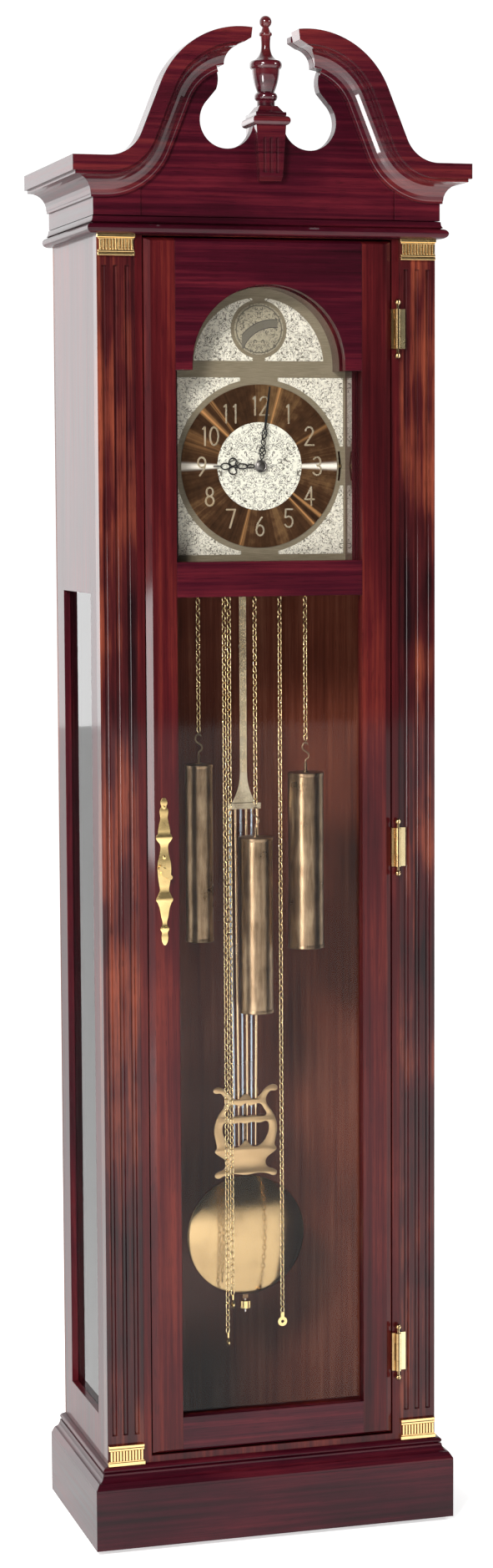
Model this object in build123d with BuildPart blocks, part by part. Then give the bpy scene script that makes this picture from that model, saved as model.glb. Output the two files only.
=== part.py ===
"""Longcase (grandfather) clock with a broken-arch top, chain-driven weights and a lyre pendulum.

Millimetres, +Z up, front of the case towards -Y.  The origin is on the floor, at the
centre of the clock's overall width and depth.
"""
from build123d import *
from math import acos, atan2, cos, degrees, hypot, pi, radians, sin
import os

os.makedirs("parts", exist_ok=True)

# ---------------------------------------------------------------- driving dimensions
case_width = 460.0
case_depth = 256.0
cornice_overhang = 38.5
plinth_overhang = 20.5
board = 18.0
glue_line = 0.1
back_thickness = 6.0

foot_height = 6.0
plinth_top = 84.6
base_moulding_height = 30.0
necking_bottom = 1736.0
necking_height = 23.3
frieze_height = 22.4
cornice_height = 50.0
fascia_height = 19.6
frieze_overhang = 5.0

pilaster_width = 50.0
pilaster_thickness = 20.0
door_gap = 1.6
face_strip_width = 10.4
door_bottom = 125.0
door_top = 1733.0
door_thickness = 20.0
door_proud = 4.0
stile_width = 41.0
glass = 3.0
rebate = 6.0
pane_play = 0.5
bead_and_pane = 8.0
mid_rail_bottom = 1268.0
mid_rail_top = 1314.0
bottom_rail_height = 48.0
shoulder_z = 1563.0
arch_spring_z = 1570.0
arch_radius = 104.0

dial_depth = 46.0
dial_width = 250.0
dial_sheet = 1.5
dial_centre_z = 1438.5
ring_radius = 107.5
ring_inner_radius = 58.0
ring_sheet = 1.2
disc_radius = 33.7
disc_z = 1618.5

chain_depth = 86.0
sprocket_radius = 18.0
weight_length = 240.0
pendulum_depth = 132.0
pendulum_pivot_z = 1486.0
bob_radius = 84.0
bob_thickness = 26.0
bob_top_z = 466.0
finial_top = 2019.2
running_clearance = 0.05

# ---------------------------------------------------------------- derived places
half_width = case_width / 2
front_y = (cornice_overhang - case_depth) / 2
back_y = front_y + case_depth
side_thickness = pilaster_thickness
inner_half = half_width - side_thickness
base_top = plinth_top + base_moulding_height
necking_top = necking_bottom + necking_height
cornice_bottom = necking_top + frieze_height
cornice_top = cornice_bottom + cornice_height
pilaster_inner = half_width - pilaster_width
strip_inner = pilaster_inner - face_strip_width
door_half = strip_inner - door_gap
stile_inner = door_half - stile_width
glass_depth = door_thickness - door_proud - bead_and_pane
bob_centre_z = bob_top_z - bob_radius
side_back = case_depth - back_thickness - glue_line


def deep(distance):
    """y of a plane that lies this far behind the case front."""
    return front_y + distance


def add_board(x_low, x_high, depth_low, depth_high, z_low, z_high, mode=Mode.ADD):
    """A square-edged board between two x, two depths behind the case front and two heights."""
    middle = ((x_low + x_high) / 2, deep((depth_low + depth_high) / 2), (z_low + z_high) / 2)
    with Locations(middle):
        Box(x_high - x_low, depth_high - depth_low, z_high - z_low, mode=mode)


def add_disc(x, z, radius, depth_low, depth_high, mode=Mode.ADD):
    """A round plate or rod whose axis runs front to back."""
    with Locations((x, deep((depth_low + depth_high) / 2), z)):
        Cylinder(radius, depth_high - depth_low, rotation=(90, 0, 0), mode=mode)


def add_post(x, depth, radius, z_low, z_high, mode=Mode.ADD):
    """An upright round bar."""
    with Locations((x, deep(depth), (z_low + z_high) / 2)):
        Cylinder(radius, z_high - z_low, mode=mode)


def save(builder, name):
    """Names the finished piece and writes its file."""
    builder.part.label = name
    export_step(builder.part, "parts/" + name + ".step")


def cove(start, end, steps=7):
    """Points of a hollow quarter curve between two (overhang, z) corners."""
    (out_a, z_a), (out_b, z_b) = start, end
    turns = [pi / 2 * i / steps for i in range(steps + 1)]
    return [(out_b + (out_a - out_b) * (1 - sin(t)), z_a + (z_b - z_a) * (1 - cos(t))) for t in turns]


def nosing(inner, outer, z_low, z_high, steps=8):
    """Points of a half-round edge that swells from the inner to the outer overhang."""
    middle, rise = (z_low + z_high) / 2, (z_high - z_low) / 2
    turns = [-pi / 2 + pi * i / steps for i in range(steps + 1)]
    return [(inner + (outer - inner) * cos(t), middle + rise * sin(t)) for t in turns]


def wrap_case(profile):
    """Runs a moulding round the case: two side returns and a front length, mitred."""
    corner_axis = {"x_dir": (1, -1, 0), "z_dir": (-1, -1, 0)}
    stretched = [(out * 2 ** 0.5, z) for out, z in profile]
    with BuildSketch(Plane(origin=(half_width, front_y + glue_line, 0), **corner_axis)) as corner:
        Polygon(*stretched, align=None)
    with BuildSketch(Plane(origin=(half_width, back_y, 0), x_dir=(1, 0, 0), z_dir=(0, -1, 0))) as end:
        Polygon(*profile, align=None)
    loft(sections=[corner.sketch, end.sketch], ruled=True)
    mirror(about=Plane.YZ)
    with BuildSketch(Plane(origin=(half_width - glue_line, front_y, 0), **corner_axis)) as right:
        Polygon(*stretched, align=None)
    with BuildSketch(Plane(origin=(glue_line - half_width, front_y, 0),
                           x_dir=(-1, -1, 0), z_dir=(-1, 1, 0))) as left:
        Polygon(*stretched, align=None)
    loft(sections=[left.sketch, right.sketch], ruled=True)


# ---------------------------------------------------------------- plinth
plinth_half = half_width + plinth_overhang
foot_inset = 32.0
foot_radius = 18.0
block_size = 44.0
front_foot_depth = block_size / 2 - 4

with BuildPart() as plinth_frame:
    add_board(-plinth_half, plinth_half, -plinth_overhang, board - plinth_overhang, foot_height, plinth_top)
    for side in (-1, 1):
        edges = sorted((side * plinth_half, side * (plinth_half - board)))
        add_board(*edges, board - plinth_overhang + glue_line, case_depth, foot_height, plinth_top)
        block = sorted((side * (plinth_half - board - glue_line), side * (plinth_half - board - block_size)))
        add_board(*block, board - plinth_overhang + glue_line, block_size, foot_height, plinth_top - board)
        add_board(*block, case_depth - board - block_size, case_depth - board - glue_line,
                  foot_height, plinth_top - board)
    inside = plinth_half - board - glue_line
    add_board(-inside, inside, case_depth - board, case_depth, foot_height, plinth_top)
save(plinth_frame, "plinth_frame")

with BuildPart() as levelling_feet:
    for x in (-plinth_half + foot_inset, plinth_half - foot_inset):
        for depth in (front_foot_depth, case_depth - board - block_size / 2):
            add_post(x, depth, foot_radius, 0, foot_height - glue_line)
    chamfer(levelling_feet.edges().group_by(Axis.Z)[0], length=1.5)
save(levelling_feet, "levelling_feet")

top_board_z = cornice_top - 30.0

with BuildPart() as case_boards:
    floor_half = inner_half - glue_line
    add_board(-floor_half, floor_half, pilaster_thickness + glue_line, side_back,
              plinth_top + glue_line, plinth_top + board)
    add_board(-floor_half, floor_half, board + glue_line, side_back, top_board_z, top_board_z + board)
save(case_boards, "case_boards")

with BuildPart() as base_moulding:
    low, high = plinth_top + glue_line, base_top
    wrap_case([(glue_line, low), (plinth_overhang, low), (plinth_overhang, low + 3)]
              + cove((plinth_overhang - 5, low + 11), (8.0, high - 9))
              + nosing(4.0, 8.0, high - 8, high - 1) + [(glue_line, high)])
save(base_moulding, "base_moulding")

# ---------------------------------------------------------------- case sides, back and front
window_front = 51.0
window_back = 210.0
window_bottom = 172.0
window_top = 1273.0
side_glass_inset = 9.0

for side, name in ((-1, "side_frame_left"), (1, "side_frame_right")):
    outer, inner = side * half_width, side * inner_half
    wall = sorted((outer, inner))
    slot = sorted((outer - side * side_glass_inset, outer - side * (side_glass_inset + glass + 0.4)))
    with BuildPart() as side_frame:
        add_board(*wall, pilaster_thickness + glue_line, window_front, plinth_top + glue_line, cornice_top)
        add_board(*wall, window_back, side_back, plinth_top + glue_line, cornice_top)
        across = (window_front + glue_line, window_back - glue_line)
        add_board(*wall, *across, plinth_top + glue_line, window_bottom)
        add_board(*wall, *across, window_top, cornice_top)
        add_board(*slot, window_front - rebate, window_back + rebate,
                  window_bottom - rebate, window_top + rebate, mode=Mode.SUBTRACT)
    save(side_frame, name)

with BuildPart() as side_glass:
    for side in (-1, 1):
        outer = side * (half_width - side_glass_inset - 0.2)
        pane = sorted((outer, outer - side * glass))
        add_board(*pane, window_front - rebate + pane_play, window_back + rebate - pane_play,
                  window_bottom - rebate + 0.2, window_top + rebate - pane_play)
save(side_glass, "side_glass")

with BuildPart() as back_panel:
    add_board(-half_width, half_width, case_depth - back_thickness, case_depth,
              plinth_top + glue_line, cornice_top)
save(back_panel, "back_panel")

flute_pitch = 15.3
flute_radius = 3.2
flute_margin = 12.0
capital_height = 28.0
capital_sheet = 3.0

with BuildPart() as pilasters:
    for side in (-1, 1):
        edges = sorted((side * half_width, side * (pilaster_inner + glue_line)))
        add_board(*edges, 0, pilaster_thickness, base_top + glue_line, necking_bottom - glue_line)
    for side in (-1, 1):
        for count in (-1, 0, 1):
            x = side * (half_width - pilaster_width / 2) + count * flute_pitch
            add_post(x, 0, flute_radius, base_top + capital_height + flute_margin,
                     necking_bottom - capital_height - flute_margin, mode=Mode.SUBTRACT)
save(pilasters, "pilasters")

capital_ribs = 11
abacus_height = 6.0
neck_height = 14.0
rib_half = 1.0
rib_rise = 1.2

with BuildPart() as brass_capitals:
    for side in (-1, 1):
        centre = side * (half_width - pilaster_width / 2)
        half = pilaster_width / 2 - 2.0
        for base, sign in ((necking_bottom - glue_line, -1), (base_top + glue_line, 1)):
            neck_start = base + sign * abacus_height
            neck_end = neck_start + sign * neck_height
            abacus = sorted((base, neck_start))
            neck = sorted((neck_start, neck_end))
            foot = sorted((neck_end, base + sign * capital_height))
            add_board(centre - half - 2, centre + half + 2, -capital_sheet - 3, -glue_line, *abacus)
            add_board(centre - half, centre + half, -capital_sheet, -glue_line, *neck)
            add_board(centre - half - 1, centre + half + 1, -capital_sheet - 2, -glue_line, *foot)
            for rib in range(capital_ribs):
                x = centre - half + (rib + 0.5) * 2 * half / capital_ribs
                add_board(x - rib_half, x + rib_half, -capital_sheet - rib_rise, -capital_sheet, *neck)
save(brass_capitals, "brass_capitals")

with BuildPart() as face_frame:
    for side in (-1, 1):
        strip = sorted((side * strip_inner, side * (pilaster_inner - glue_line)))
        add_board(*strip, 0, pilaster_thickness, plinth_top + glue_line, necking_bottom - glue_line)
    between = strip_inner - glue_line
    add_board(-between, between, 0, pilaster_thickness, plinth_top + glue_line, door_bottom - door_gap)
    add_board(-between, between, 0, pilaster_thickness, door_top + door_gap, necking_bottom - glue_line)
save(face_frame, "face_frame")

# ---------------------------------------------------------------- necking, frieze and cornice
necking_overhang = 14.7

with BuildPart() as necking_moulding:
    low, high = necking_bottom, necking_top - glue_line
    wrap_case([(glue_line, low)] + nosing(6.0, necking_overhang, low, low + 13)
              + cove((9.0, low + 14.5), (frieze_overhang + 1, high - 1)) + [(glue_line, high)])
save(necking_moulding, "necking_moulding")

frieze_block_inner = 172.0
end_block_drop = 12.0
frieze_proud = 2.0

with BuildPart() as frieze_boards:
    for side in (-1, 1):
        end = sorted((side * (half_width + frieze_overhang), side * frieze_block_inner))
        add_board(*end, -frieze_overhang, board - frieze_overhang, necking_top,
                  cornice_top - end_block_drop - glue_line)
        flank = sorted((side * (half_width + frieze_overhang), side * (half_width + glue_line)))
        add_board(*flank, board - frieze_overhang + glue_line, case_depth, necking_top, cornice_top - glue_line)
save(frieze_boards, "frieze_boards")

cornice_profile = ([(frieze_overhang + glue_line, cornice_bottom), (frieze_overhang + 3, cornice_bottom),
                    (frieze_overhang + 3, cornice_bottom + 3)]
                   + cove((cornice_overhang - 7, cornice_top - fascia_height - 4),
                          (frieze_overhang + 3.5, cornice_bottom + 4))[::-1]
                   + [(cornice_overhang - 4, cornice_top - fascia_height - 4),
                      (cornice_overhang - 4, cornice_top - fascia_height),
                      (cornice_overhang, cornice_top - fascia_height), (cornice_overhang, cornice_top),
                      (frieze_overhang + glue_line, cornice_top)])

with BuildPart() as cornice_returns:
    with BuildSketch(Plane(origin=(half_width, front_y + glue_line, 0),
                           x_dir=(1, -1, 0), z_dir=(-1, -1, 0))) as corner_section:
        Polygon(*[(out * 2 ** 0.5, z) for out, z in cornice_profile], align=None)
    with BuildSketch(Plane(origin=(half_width, back_y, 0), x_dir=(1, 0, 0), z_dir=(0, -1, 0))) as end_section:
        Polygon(*cornice_profile, align=None)
    loft(sections=[corner_section.sketch, end_section.sketch], ruled=True)
    mirror(about=Plane.YZ)
save(cornice_returns, "cornice_returns")

# ---------------------------------------------------------------- broken-arch pediment
arch_top = 1998.0
arch_centre_x = 45.0
crown_radius = 116.0
sweep_centre_x = 222.0
sweep_radius = 46.7
arch_end_x = 31.0
crown_centre = (arch_centre_x, arch_top - crown_radius)
sweep_centre = (sweep_centre_x, cornice_top + sweep_radius)
centre_gap = hypot(sweep_centre[0] - crown_centre[0], sweep_centre[1] - crown_centre[1])
centre_tilt = atan2(sweep_centre[1] - crown_centre[1], sweep_centre[0] - crown_centre[0])
touch_angle = centre_tilt + acos((crown_radius + sweep_radius) / centre_gap)


def swan_line(inset):
    """Edges of the S-curve, set in by a distance, from its foot on the cornice to the crown."""
    crown, sweep_r = crown_radius - inset, sweep_radius + inset
    foot = (sweep_centre[0], sweep_centre[1] - sweep_r)
    leave = (sweep_centre[0] - sweep_r * cos(touch_angle), sweep_centre[1] - sweep_r * sin(touch_angle))
    meet = (crown_centre[0] + crown * cos(touch_angle), crown_centre[1] + crown * sin(touch_angle))
    halfway = (sweep_centre[0] - sweep_r * cos(pi / 4 + touch_angle / 2),
               sweep_centre[1] - sweep_r * sin(pi / 4 + touch_angle / 2))
    last = acos((arch_end_x - crown_centre[0]) / crown)
    middle = (touch_angle + last) / 2
    shoulder = (crown_centre[0] + crown * cos(middle), crown_centre[1] + crown * sin(middle))
    tip = (arch_end_x, crown_centre[1] + crown * sin(last))
    ThreePointArc(foot, halfway, leave)
    Line(leave, meet)
    ThreePointArc(meet, shoulder, tip)
    return tip


lobe_centre = (56.0, 1883.0)
lobe_radius = 36.0
key_half = 20.0
keystone_top_z = 1877.0
notch_z = 1951.0


def opening_outline(inner_x):
    """Right half of the sawn opening between the two swan necks."""
    low_z = keystone_top_z
    lobe_end = (lobe_centre[0] + lobe_radius * cos(pi / 4), lobe_centre[1] + lobe_radius * sin(pi / 4))
    start = (lobe_centre[0] - (lobe_radius ** 2 - (lobe_centre[1] - low_z) ** 2) ** 0.5, low_z)
    Line((inner_x, arch_top + 5), (inner_x, low_z))
    Line((inner_x, low_z), start)
    ThreePointArc(start, (lobe_centre[0] + lobe_radius * cos(-pi / 3),
                          lobe_centre[1] + lobe_radius * sin(-pi / 3)), lobe_end)
    Line(lobe_end, (70.0, 1922.0))
    ThreePointArc((70.0, 1922.0), (67.5, 1935.0), (71.0, notch_z))
    Line((71.0, notch_z), (61.0, notch_z + 2))
    ThreePointArc((61.0, notch_z + 2), (56.0, 1970.0), (42.0, 1978.5))
    Line((42.0, 1978.5), (arch_end_x, 1985.0))
    Line((arch_end_x, 1985.0), (arch_end_x, arch_top + 5))
    Line((arch_end_x, arch_top + 5), (inner_x, arch_top + 5))


board_front = -frieze_overhang + frieze_proud
board_inset = 5.0
board_end = half_width - 1.0

with BuildPart() as pediment_board:
    with BuildSketch(Plane.XZ.offset(-deep(board_front))) as outline:
        with BuildLine():
            top_end = swan_line(board_inset)
            Line((board_end, cornice_top - board_inset), (sweep_centre_x, cornice_top - board_inset))
            Line(top_end, (0, top_end[1]))
            Line((0, top_end[1]), (0, necking_top))
            Line((0, necking_top), (frieze_block_inner - glue_line, necking_top))
            Line((frieze_block_inner - glue_line, necking_top),
                 (frieze_block_inner - glue_line, cornice_top - end_block_drop))
            Line((frieze_block_inner - glue_line, cornice_top - end_block_drop),
                 (board_end, cornice_top - end_block_drop))
            Line((board_end, cornice_top - end_block_drop),
                 (board_end, cornice_top - board_inset))
        make_face()
        with BuildLine():
            opening_outline(0)
        make_face(mode=Mode.SUBTRACT)
        mirror(about=Plane.YZ)
    extrude(amount=-board)
save(pediment_board, "pediment_board")


def moulding_section(point, run):
    """The cornice profile, square to its run, where its top outer line passes a point (x, z)."""
    with BuildSketch(Plane(origin=(point[0], front_y, point[1]), x_dir=(0, -1, 0), z_dir=run)) as section:
        Polygon(*[(out, z - cornice_top) for out, z in cornice_profile], align=None)
    return section.sketch


crown_end_angle = acos((arch_end_x - crown_centre[0]) / crown_radius)
sweep_leaves = (sweep_centre[0] - sweep_radius * cos(touch_angle),
                sweep_centre[1] - sweep_radius * sin(touch_angle))
crown_starts = (crown_centre[0] + crown_radius * cos(touch_angle),
                crown_centre[1] + crown_radius * sin(touch_angle))
rise = Vector(crown_starts[0] - sweep_leaves[0], 0, crown_starts[1] - sweep_leaves[1])

with BuildPart() as swan_necks:
    foot_section = moulding_section((sweep_centre_x, cornice_top), (-1, 0, 0))
    extrude(foot_section, amount=sweep_centre_x - half_width - cornice_overhang)
    split(bisect_by=Plane(origin=(half_width - glue_line, front_y, 0), z_dir=(1, 1, 0)), keep=Keep.BOTTOM)
    revolve(foot_section, axis=Axis((sweep_centre[0], 0, sweep_centre[1]), (0, 1, 0)),
            revolution_arc=90 - degrees(touch_angle))
    extrude(moulding_section(sweep_leaves, rise), amount=rise.length)
    revolve(moulding_section(crown_starts, rise), axis=Axis((crown_centre[0], 0, crown_centre[1]), (0, -1, 0)),
            revolution_arc=degrees(crown_end_angle - touch_angle))
    with BuildSketch(Plane.XZ.offset(-deep(board))) as end_cut:
        with BuildLine():
            opening_outline(0)
        make_face()
    extrude(end_cut.sketch, amount=board + cornice_overhang + 10, mode=Mode.SUBTRACT)
    mirror(about=Plane.YZ)
save(swan_necks, "swan_necks")

keystone_bottom_z = 1806.0
keystone_foot_half = 15.0
keystone_proud = 17.0
keystone_back = 33.0
flute_step = 8.5

with BuildPart() as keystone:
    with BuildSketch(Plane.XZ.offset(-deep(board_front - glue_line))):
        Polygon((-key_half, keystone_top_z), (-keystone_foot_half, keystone_bottom_z),
                (keystone_foot_half, keystone_bottom_z), (key_half, keystone_top_z), align=None)
    extrude(amount=keystone_proud + board_front - glue_line)
    chamfer(keystone.edges().filter_by(Axis.X).group_by(Axis.Z)[0].sort_by(Axis.Y)[0], length=7, length2=6)
    for count in (-1, 0, 1):
        add_post(count * flute_step, -keystone_proud, 2.2, keystone_bottom_z + 10, keystone_top_z - 16,
                 mode=Mode.SUBTRACT)
    add_board(-key_half, key_half, board_front + board + glue_line, keystone_back,
              top_board_z + board + glue_line, keystone_top_z)
save(keystone, "keystone")

finial_depth = (keystone_back - keystone_proud) / 2
cap_half = 25.0
cap_deep_half = 29.0
cap_height = 12.0
step_height = 17.0
base_height = 26.0

with BuildPart() as finial_base:
    for growth, z_low, z_high, rounding in ((0, glue_line, cap_height, 5.5),
                                            (-4.5, cap_height, step_height, 1.0)):
        tier = Box(2 * (cap_half + growth), 2 * (cap_deep_half + growth), z_high - z_low, mode=Mode.PRIVATE)
        rims = tier.edges().group_by(Axis.Z)
        rounded = tier.fillet(rounding, rims[0] + rims[-1])
        add(rounded.moved(Location((0, deep(finial_depth), keystone_top_z + (z_low + z_high) / 2))))
    with BuildSketch(Plane.XY.offset(keystone_top_z + step_height)) as wide:
        with Locations((0, deep(finial_depth))):
            Rectangle(36, 42)
    with BuildSketch(Plane.XY.offset(keystone_top_z + base_height)) as narrow:
        with Locations((0, deep(finial_depth))):
            Rectangle(24, 24)
    loft(sections=[wide.sketch, narrow.sketch], ruled=True)
save(finial_base, "finial_base")

finial_foot_z = keystone_top_z + base_height + glue_line
ball_radius = 8.0

with BuildPart() as finial:
    with BuildSketch(Plane.XZ.offset(-deep(finial_depth))):
        with BuildLine():
            Polyline((0, finial_foot_z), (11.8, finial_foot_z), (11.8, 1910.0))
            ThreePointArc((11.8, 1910.0), (15.2, 1915.5), (11.0, 1921.0))
            Spline((11.0, 1921.0), (14.8, 1931.0), (17.3, 1943.0), (18.0, 1951.0))
            Line((18.0, 1951.0), (19.5, 1951.0))
            ThreePointArc((19.5, 1951.0), (21.3, 1956.0), (19.0, 1961.0))
            Spline((19.0, 1961.0), (11.0, 1965.5), (7.0, 1973.0), (6.0, 1984.0), (6.6, 1992.5))
            ThreePointArc((6.6, 1992.5), (8.6, 1995.3), (6.2, 1998.2))
            neck_z = finial_top - ball_radius - (ball_radius ** 2 - 4.2 ** 2) ** 0.5
            Line((6.2, 1998.2), (4.2, neck_z))
            ThreePointArc((4.2, neck_z), (ball_radius, finial_top - ball_radius), (0, finial_top))
            Line((0, finial_top), (0, finial_foot_z))
        make_face()
    revolve(axis=Axis((0, deep(finial_depth), 0), (0, 0, 1)))
save(finial, "finial")

# ---------------------------------------------------------------- dial and its wooden surround
surround_front = door_thickness - door_proud + 1.0
surround_back = dial_depth - 0.2
surround_half = 119.5
surround_rise = 130.0
reveal_radius = arch_radius - 2.0

with BuildPart() as dial_surround:
    wall = inner_half - glue_line
    reveal = board
    for side in (-1, 1):
        cheek = sorted((side * surround_half, side * (surround_half + reveal)))
        add_board(*cheek, surround_front, surround_back, mid_rail_bottom, shoulder_z - glue_line)
        rest = sorted((side * (surround_half + reveal + glue_line), side * wall))
        add_board(*rest, pilaster_thickness + glue_line, pilaster_thickness + reveal,
                  mid_rail_bottom, cornice_bottom - 60)
    add_board(-surround_half + glue_line, surround_half - glue_line, surround_front, surround_back,
              mid_rail_bottom, mid_rail_top - 1)
    with BuildSketch(Plane.XZ.offset(-deep(surround_back))):
        with Locations((0, shoulder_z + surround_rise / 2)):
            Rectangle(2 * (surround_half + reveal), surround_rise)
        with Locations((0, arch_spring_z)):
            Circle(reveal_radius, mode=Mode.SUBTRACT)
        with Locations((0, shoulder_z)):
            Rectangle(2 * reveal_radius, 2 * (arch_spring_z - shoulder_z), mode=Mode.SUBTRACT)
    extrude(amount=surround_back - surround_front)
save(dial_surround, "dial_surround")

dial_bottom_z = dial_centre_z - dial_width / 2
arbor_hole = 5.5
dial_lap = 5.0

with BuildPart() as dial_plate:
    with BuildSketch(Plane.XZ.offset(-deep(dial_depth + dial_sheet))):
        with Locations((0, dial_centre_z)):
            Rectangle(dial_width, dial_width)
        with Locations((0, shoulder_z)):
            Rectangle(2 * (arch_radius + dial_lap), 2 * (arch_spring_z - shoulder_z))
        with Locations((0, arch_spring_z)):
            Circle(arch_radius + dial_lap)
        with Locations((0, dial_bottom_z - 60)):
            Rectangle(dial_width, 120, mode=Mode.SUBTRACT)
        with Locations((0, dial_centre_z)):
            Circle(arbor_hole, mode=Mode.SUBTRACT)
        with BuildLine():
            inner_arc = CenterArc((0, dial_centre_z), ring_radius + 3.0, -10, 20)
            outer_arc = CenterArc((0, dial_centre_z), ring_radius + 6.0, -10, 20)
            Line(inner_arc @ 0, outer_arc @ 0)
            Line(inner_arc @ 1, outer_arc @ 1)
        make_face(mode=Mode.SUBTRACT)
    extrude(amount=dial_sheet)
save(dial_plate, "dial_plate")

with BuildPart() as chapter_ring:
    add_disc(0, dial_centre_z, ring_radius, dial_depth - ring_sheet, dial_depth - 0.05)
    add_disc(0, dial_centre_z, ring_inner_radius + 0.2, dial_depth - ring_sheet, dial_depth, mode=Mode.SUBTRACT)
save(chapter_ring, "chapter_ring")

with BuildPart() as dial_discs:
    add_disc(0, dial_centre_z, ring_inner_radius, dial_depth - ring_sheet - 0.3, dial_depth - 0.05)
    add_disc(0, dial_centre_z, arbor_hole, dial_depth - ring_sheet - 1, dial_depth, mode=Mode.SUBTRACT)
    add_disc(0, disc_z, disc_radius, dial_depth - ring_sheet, dial_depth - 0.05)
save(dial_discs, "dial_discs")

band_width = ring_radius - ring_inner_radius
numeral_circle = ring_inner_radius + 0.435 * band_width
numeral_height = 0.525 * band_width
numeral_sheet = 0.8
stroke_width = 2.2


def bend(x, z, half_wide, half_high, start, end, steps=8):
    """Points along part of an ellipse, between two angles in degrees."""
    turns = [radians(start + (end - start) * i / steps) for i in range(steps + 1)]
    return [(x + half_wide * cos(t), z + half_high * sin(t)) for t in turns]


digit_strokes = {
    "0": [bend(0, 0, 0.22, 0.46, 0, 360, 12)],
    "1": [[(-0.08, 0.36), (0.02, 0.46), (0.02, -0.46)]],
    "2": [bend(0, 0.24, 0.2, 0.22, 170, -30) + [(-0.22, -0.46), (0.24, -0.46)]],
    "3": [bend(0, 0.24, 0.19, 0.22, 150, -90), bend(0, -0.21, 0.22, 0.25, 90, -150)],
    "4": [[(0.24, -0.16), (-0.24, -0.16), (0.1, 0.46), (0.1, -0.46)]],
    "5": [[(0.2, 0.46), (-0.15, 0.46), (-0.18, 0.06)] + bend(0, -0.18, 0.22, 0.28, 125, -150)],
    "6": [bend(0, -0.2, 0.2, 0.26, 0, 360, 12), [(-0.2, -0.2), (-0.12, 0.15), (0.1, 0.46)]],
    "7": [[(-0.22, 0.46), (0.22, 0.46), (-0.06, -0.46)]],
    "8": [bend(0, 0.24, 0.17, 0.22, 0, 360, 12), bend(0, -0.22, 0.21, 0.24, 0, 360, 12)],
    "9": [bend(0, 0.2, 0.2, 0.26, 0, 360, 12), [(0.2, 0.2), (0.12, -0.15), (-0.1, -0.46)]],
}

with BuildPart() as numerals:
    for hour in range(1, 13):
        angle = radians(90 - 30 * hour)
        place = (numeral_circle * cos(angle), dial_centre_z + numeral_circle * sin(angle))
        digits = str(hour)
        with BuildSketch(Plane.XZ.offset(-deep(dial_depth - ring_sheet - 0.05))) as figure:
            for index, digit in enumerate(digits):
                shift = (index - (len(digits) - 1) / 2) * 0.5 * numeral_height
                for stroke in digit_strokes[digit]:
                    for first, second in zip(stroke, stroke[1:]):
                        run = Vector(*second) - Vector(*first)
                        centre = (Vector(*first) + Vector(*second)) * 0.5 * numeral_height
                        with Locations((place[0] + shift + centre.X, place[1] + centre.Y)):
                            SlotCenterToCenter(run.length * numeral_height, stroke_width,
                                               rotation=degrees(atan2(run.Y, run.X)))
        extrude(figure.sketch, amount=numeral_sheet)
save(numerals, "numerals")

# ---------------------------------------------------------------- movement
plate_half = 90.0
plate_bottom = 1345.0
plate_top = 1530.0
plate_sheet = 3.0
front_plate_depth = 76.0
back_plate_depth = 118.0
pivot_radius = 1.5
sprocket_z = 1375.0
centre_weight_x = 4.0
outer_weight_x = 75.0
escape_radius = 15.0
escape_z = pendulum_pivot_z - 23.0
hammer_axis_z = 1538.0
hammer_count = 8
hammer_pitch = 18.0
chain_width = 5.0

weights = {
    "left": {"x": -outer_weight_x, "sprocket_x": sprocket_radius - outer_weight_x, "radius": 18.5,
             "bottom": 801.0, "tag_top": 258.5, "wheel_depth": 97.0, "tag_faces_front": False},
    "centre": {"x": centre_weight_x, "sprocket_x": centre_weight_x - sprocket_radius, "radius": 23.0,
               "bottom": 700.0, "tag_top": 311.0, "wheel_depth": 103.5, "tag_faces_front": False},
    "right": {"x": outer_weight_x, "sprocket_x": outer_weight_x - sprocket_radius, "radius": 24.0,
              "bottom": 786.0, "tag_top": 281.0, "wheel_depth": 97.0, "tag_faces_front": True},
}

with BuildPart() as movement_frame:
    for depth in (front_plate_depth, back_plate_depth):
        add_board(-plate_half, plate_half, depth, depth + plate_sheet, plate_bottom, plate_top)
    through = (front_plate_depth - 1, back_plate_depth + plate_sheet + 1)
    for drive in weights.values():
        add_disc(drive["sprocket_x"], sprocket_z, pivot_radius + running_clearance, *through, mode=Mode.SUBTRACT)
    add_disc(0, dial_centre_z, 5.2, *through, mode=Mode.SUBTRACT)
    add_disc(0, escape_z, pivot_radius + running_clearance, *through, mode=Mode.SUBTRACT)
    add_disc(0, pendulum_pivot_z, pivot_radius + running_clearance, *through, mode=Mode.SUBTRACT)
    behind = back_plate_depth + plate_sheet
    add_board(-7, 7, behind, pendulum_depth + 5, pendulum_pivot_z + 8, pendulum_pivot_z + 16)
    for side in (-1, 1):
        ear = sorted((side * plate_half, side * (plate_half - 3)))
        add_board(*ear, behind, pendulum_depth + 5, hammer_axis_z - 16, hammer_axis_z + 5)
    for x in (-plate_half + 5, plate_half - 5):
        for z in (plate_bottom + 6, plate_top - 6):
            add_disc(x, z, 4.0, front_plate_depth + plate_sheet + 0.05, back_plate_depth - 0.05)
            add_disc(x, z, 3.0, dial_depth + dial_sheet + 0.05, front_plate_depth - 0.05)
save(movement_frame, "movement_frame")

seat_top = plate_bottom - glue_line

with BuildPart() as seat_board:
    seat_half = inner_half - glue_line
    add_board(-seat_half, seat_half, dial_depth + 8, back_plate_depth + plate_sheet + 2, seat_top - board, seat_top)
    for drive in weights.values():
        x = drive["sprocket_x"]
        reach = sprocket_radius + chain_width
        add_board(x - reach, x + reach, chain_depth - 6, chain_depth + 6, seat_top - board - 1, seat_top + 1,
                  mode=Mode.SUBTRACT)
    for side in (-1, 1):
        cleat = sorted((side * seat_half, side * (seat_half - board)))
        add_board(*cleat, dial_depth + 8, back_plate_depth + plate_sheet + 2,
                  seat_top - 2.5 * board, seat_top - board - glue_line)
save(seat_board, "seat_board")

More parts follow.
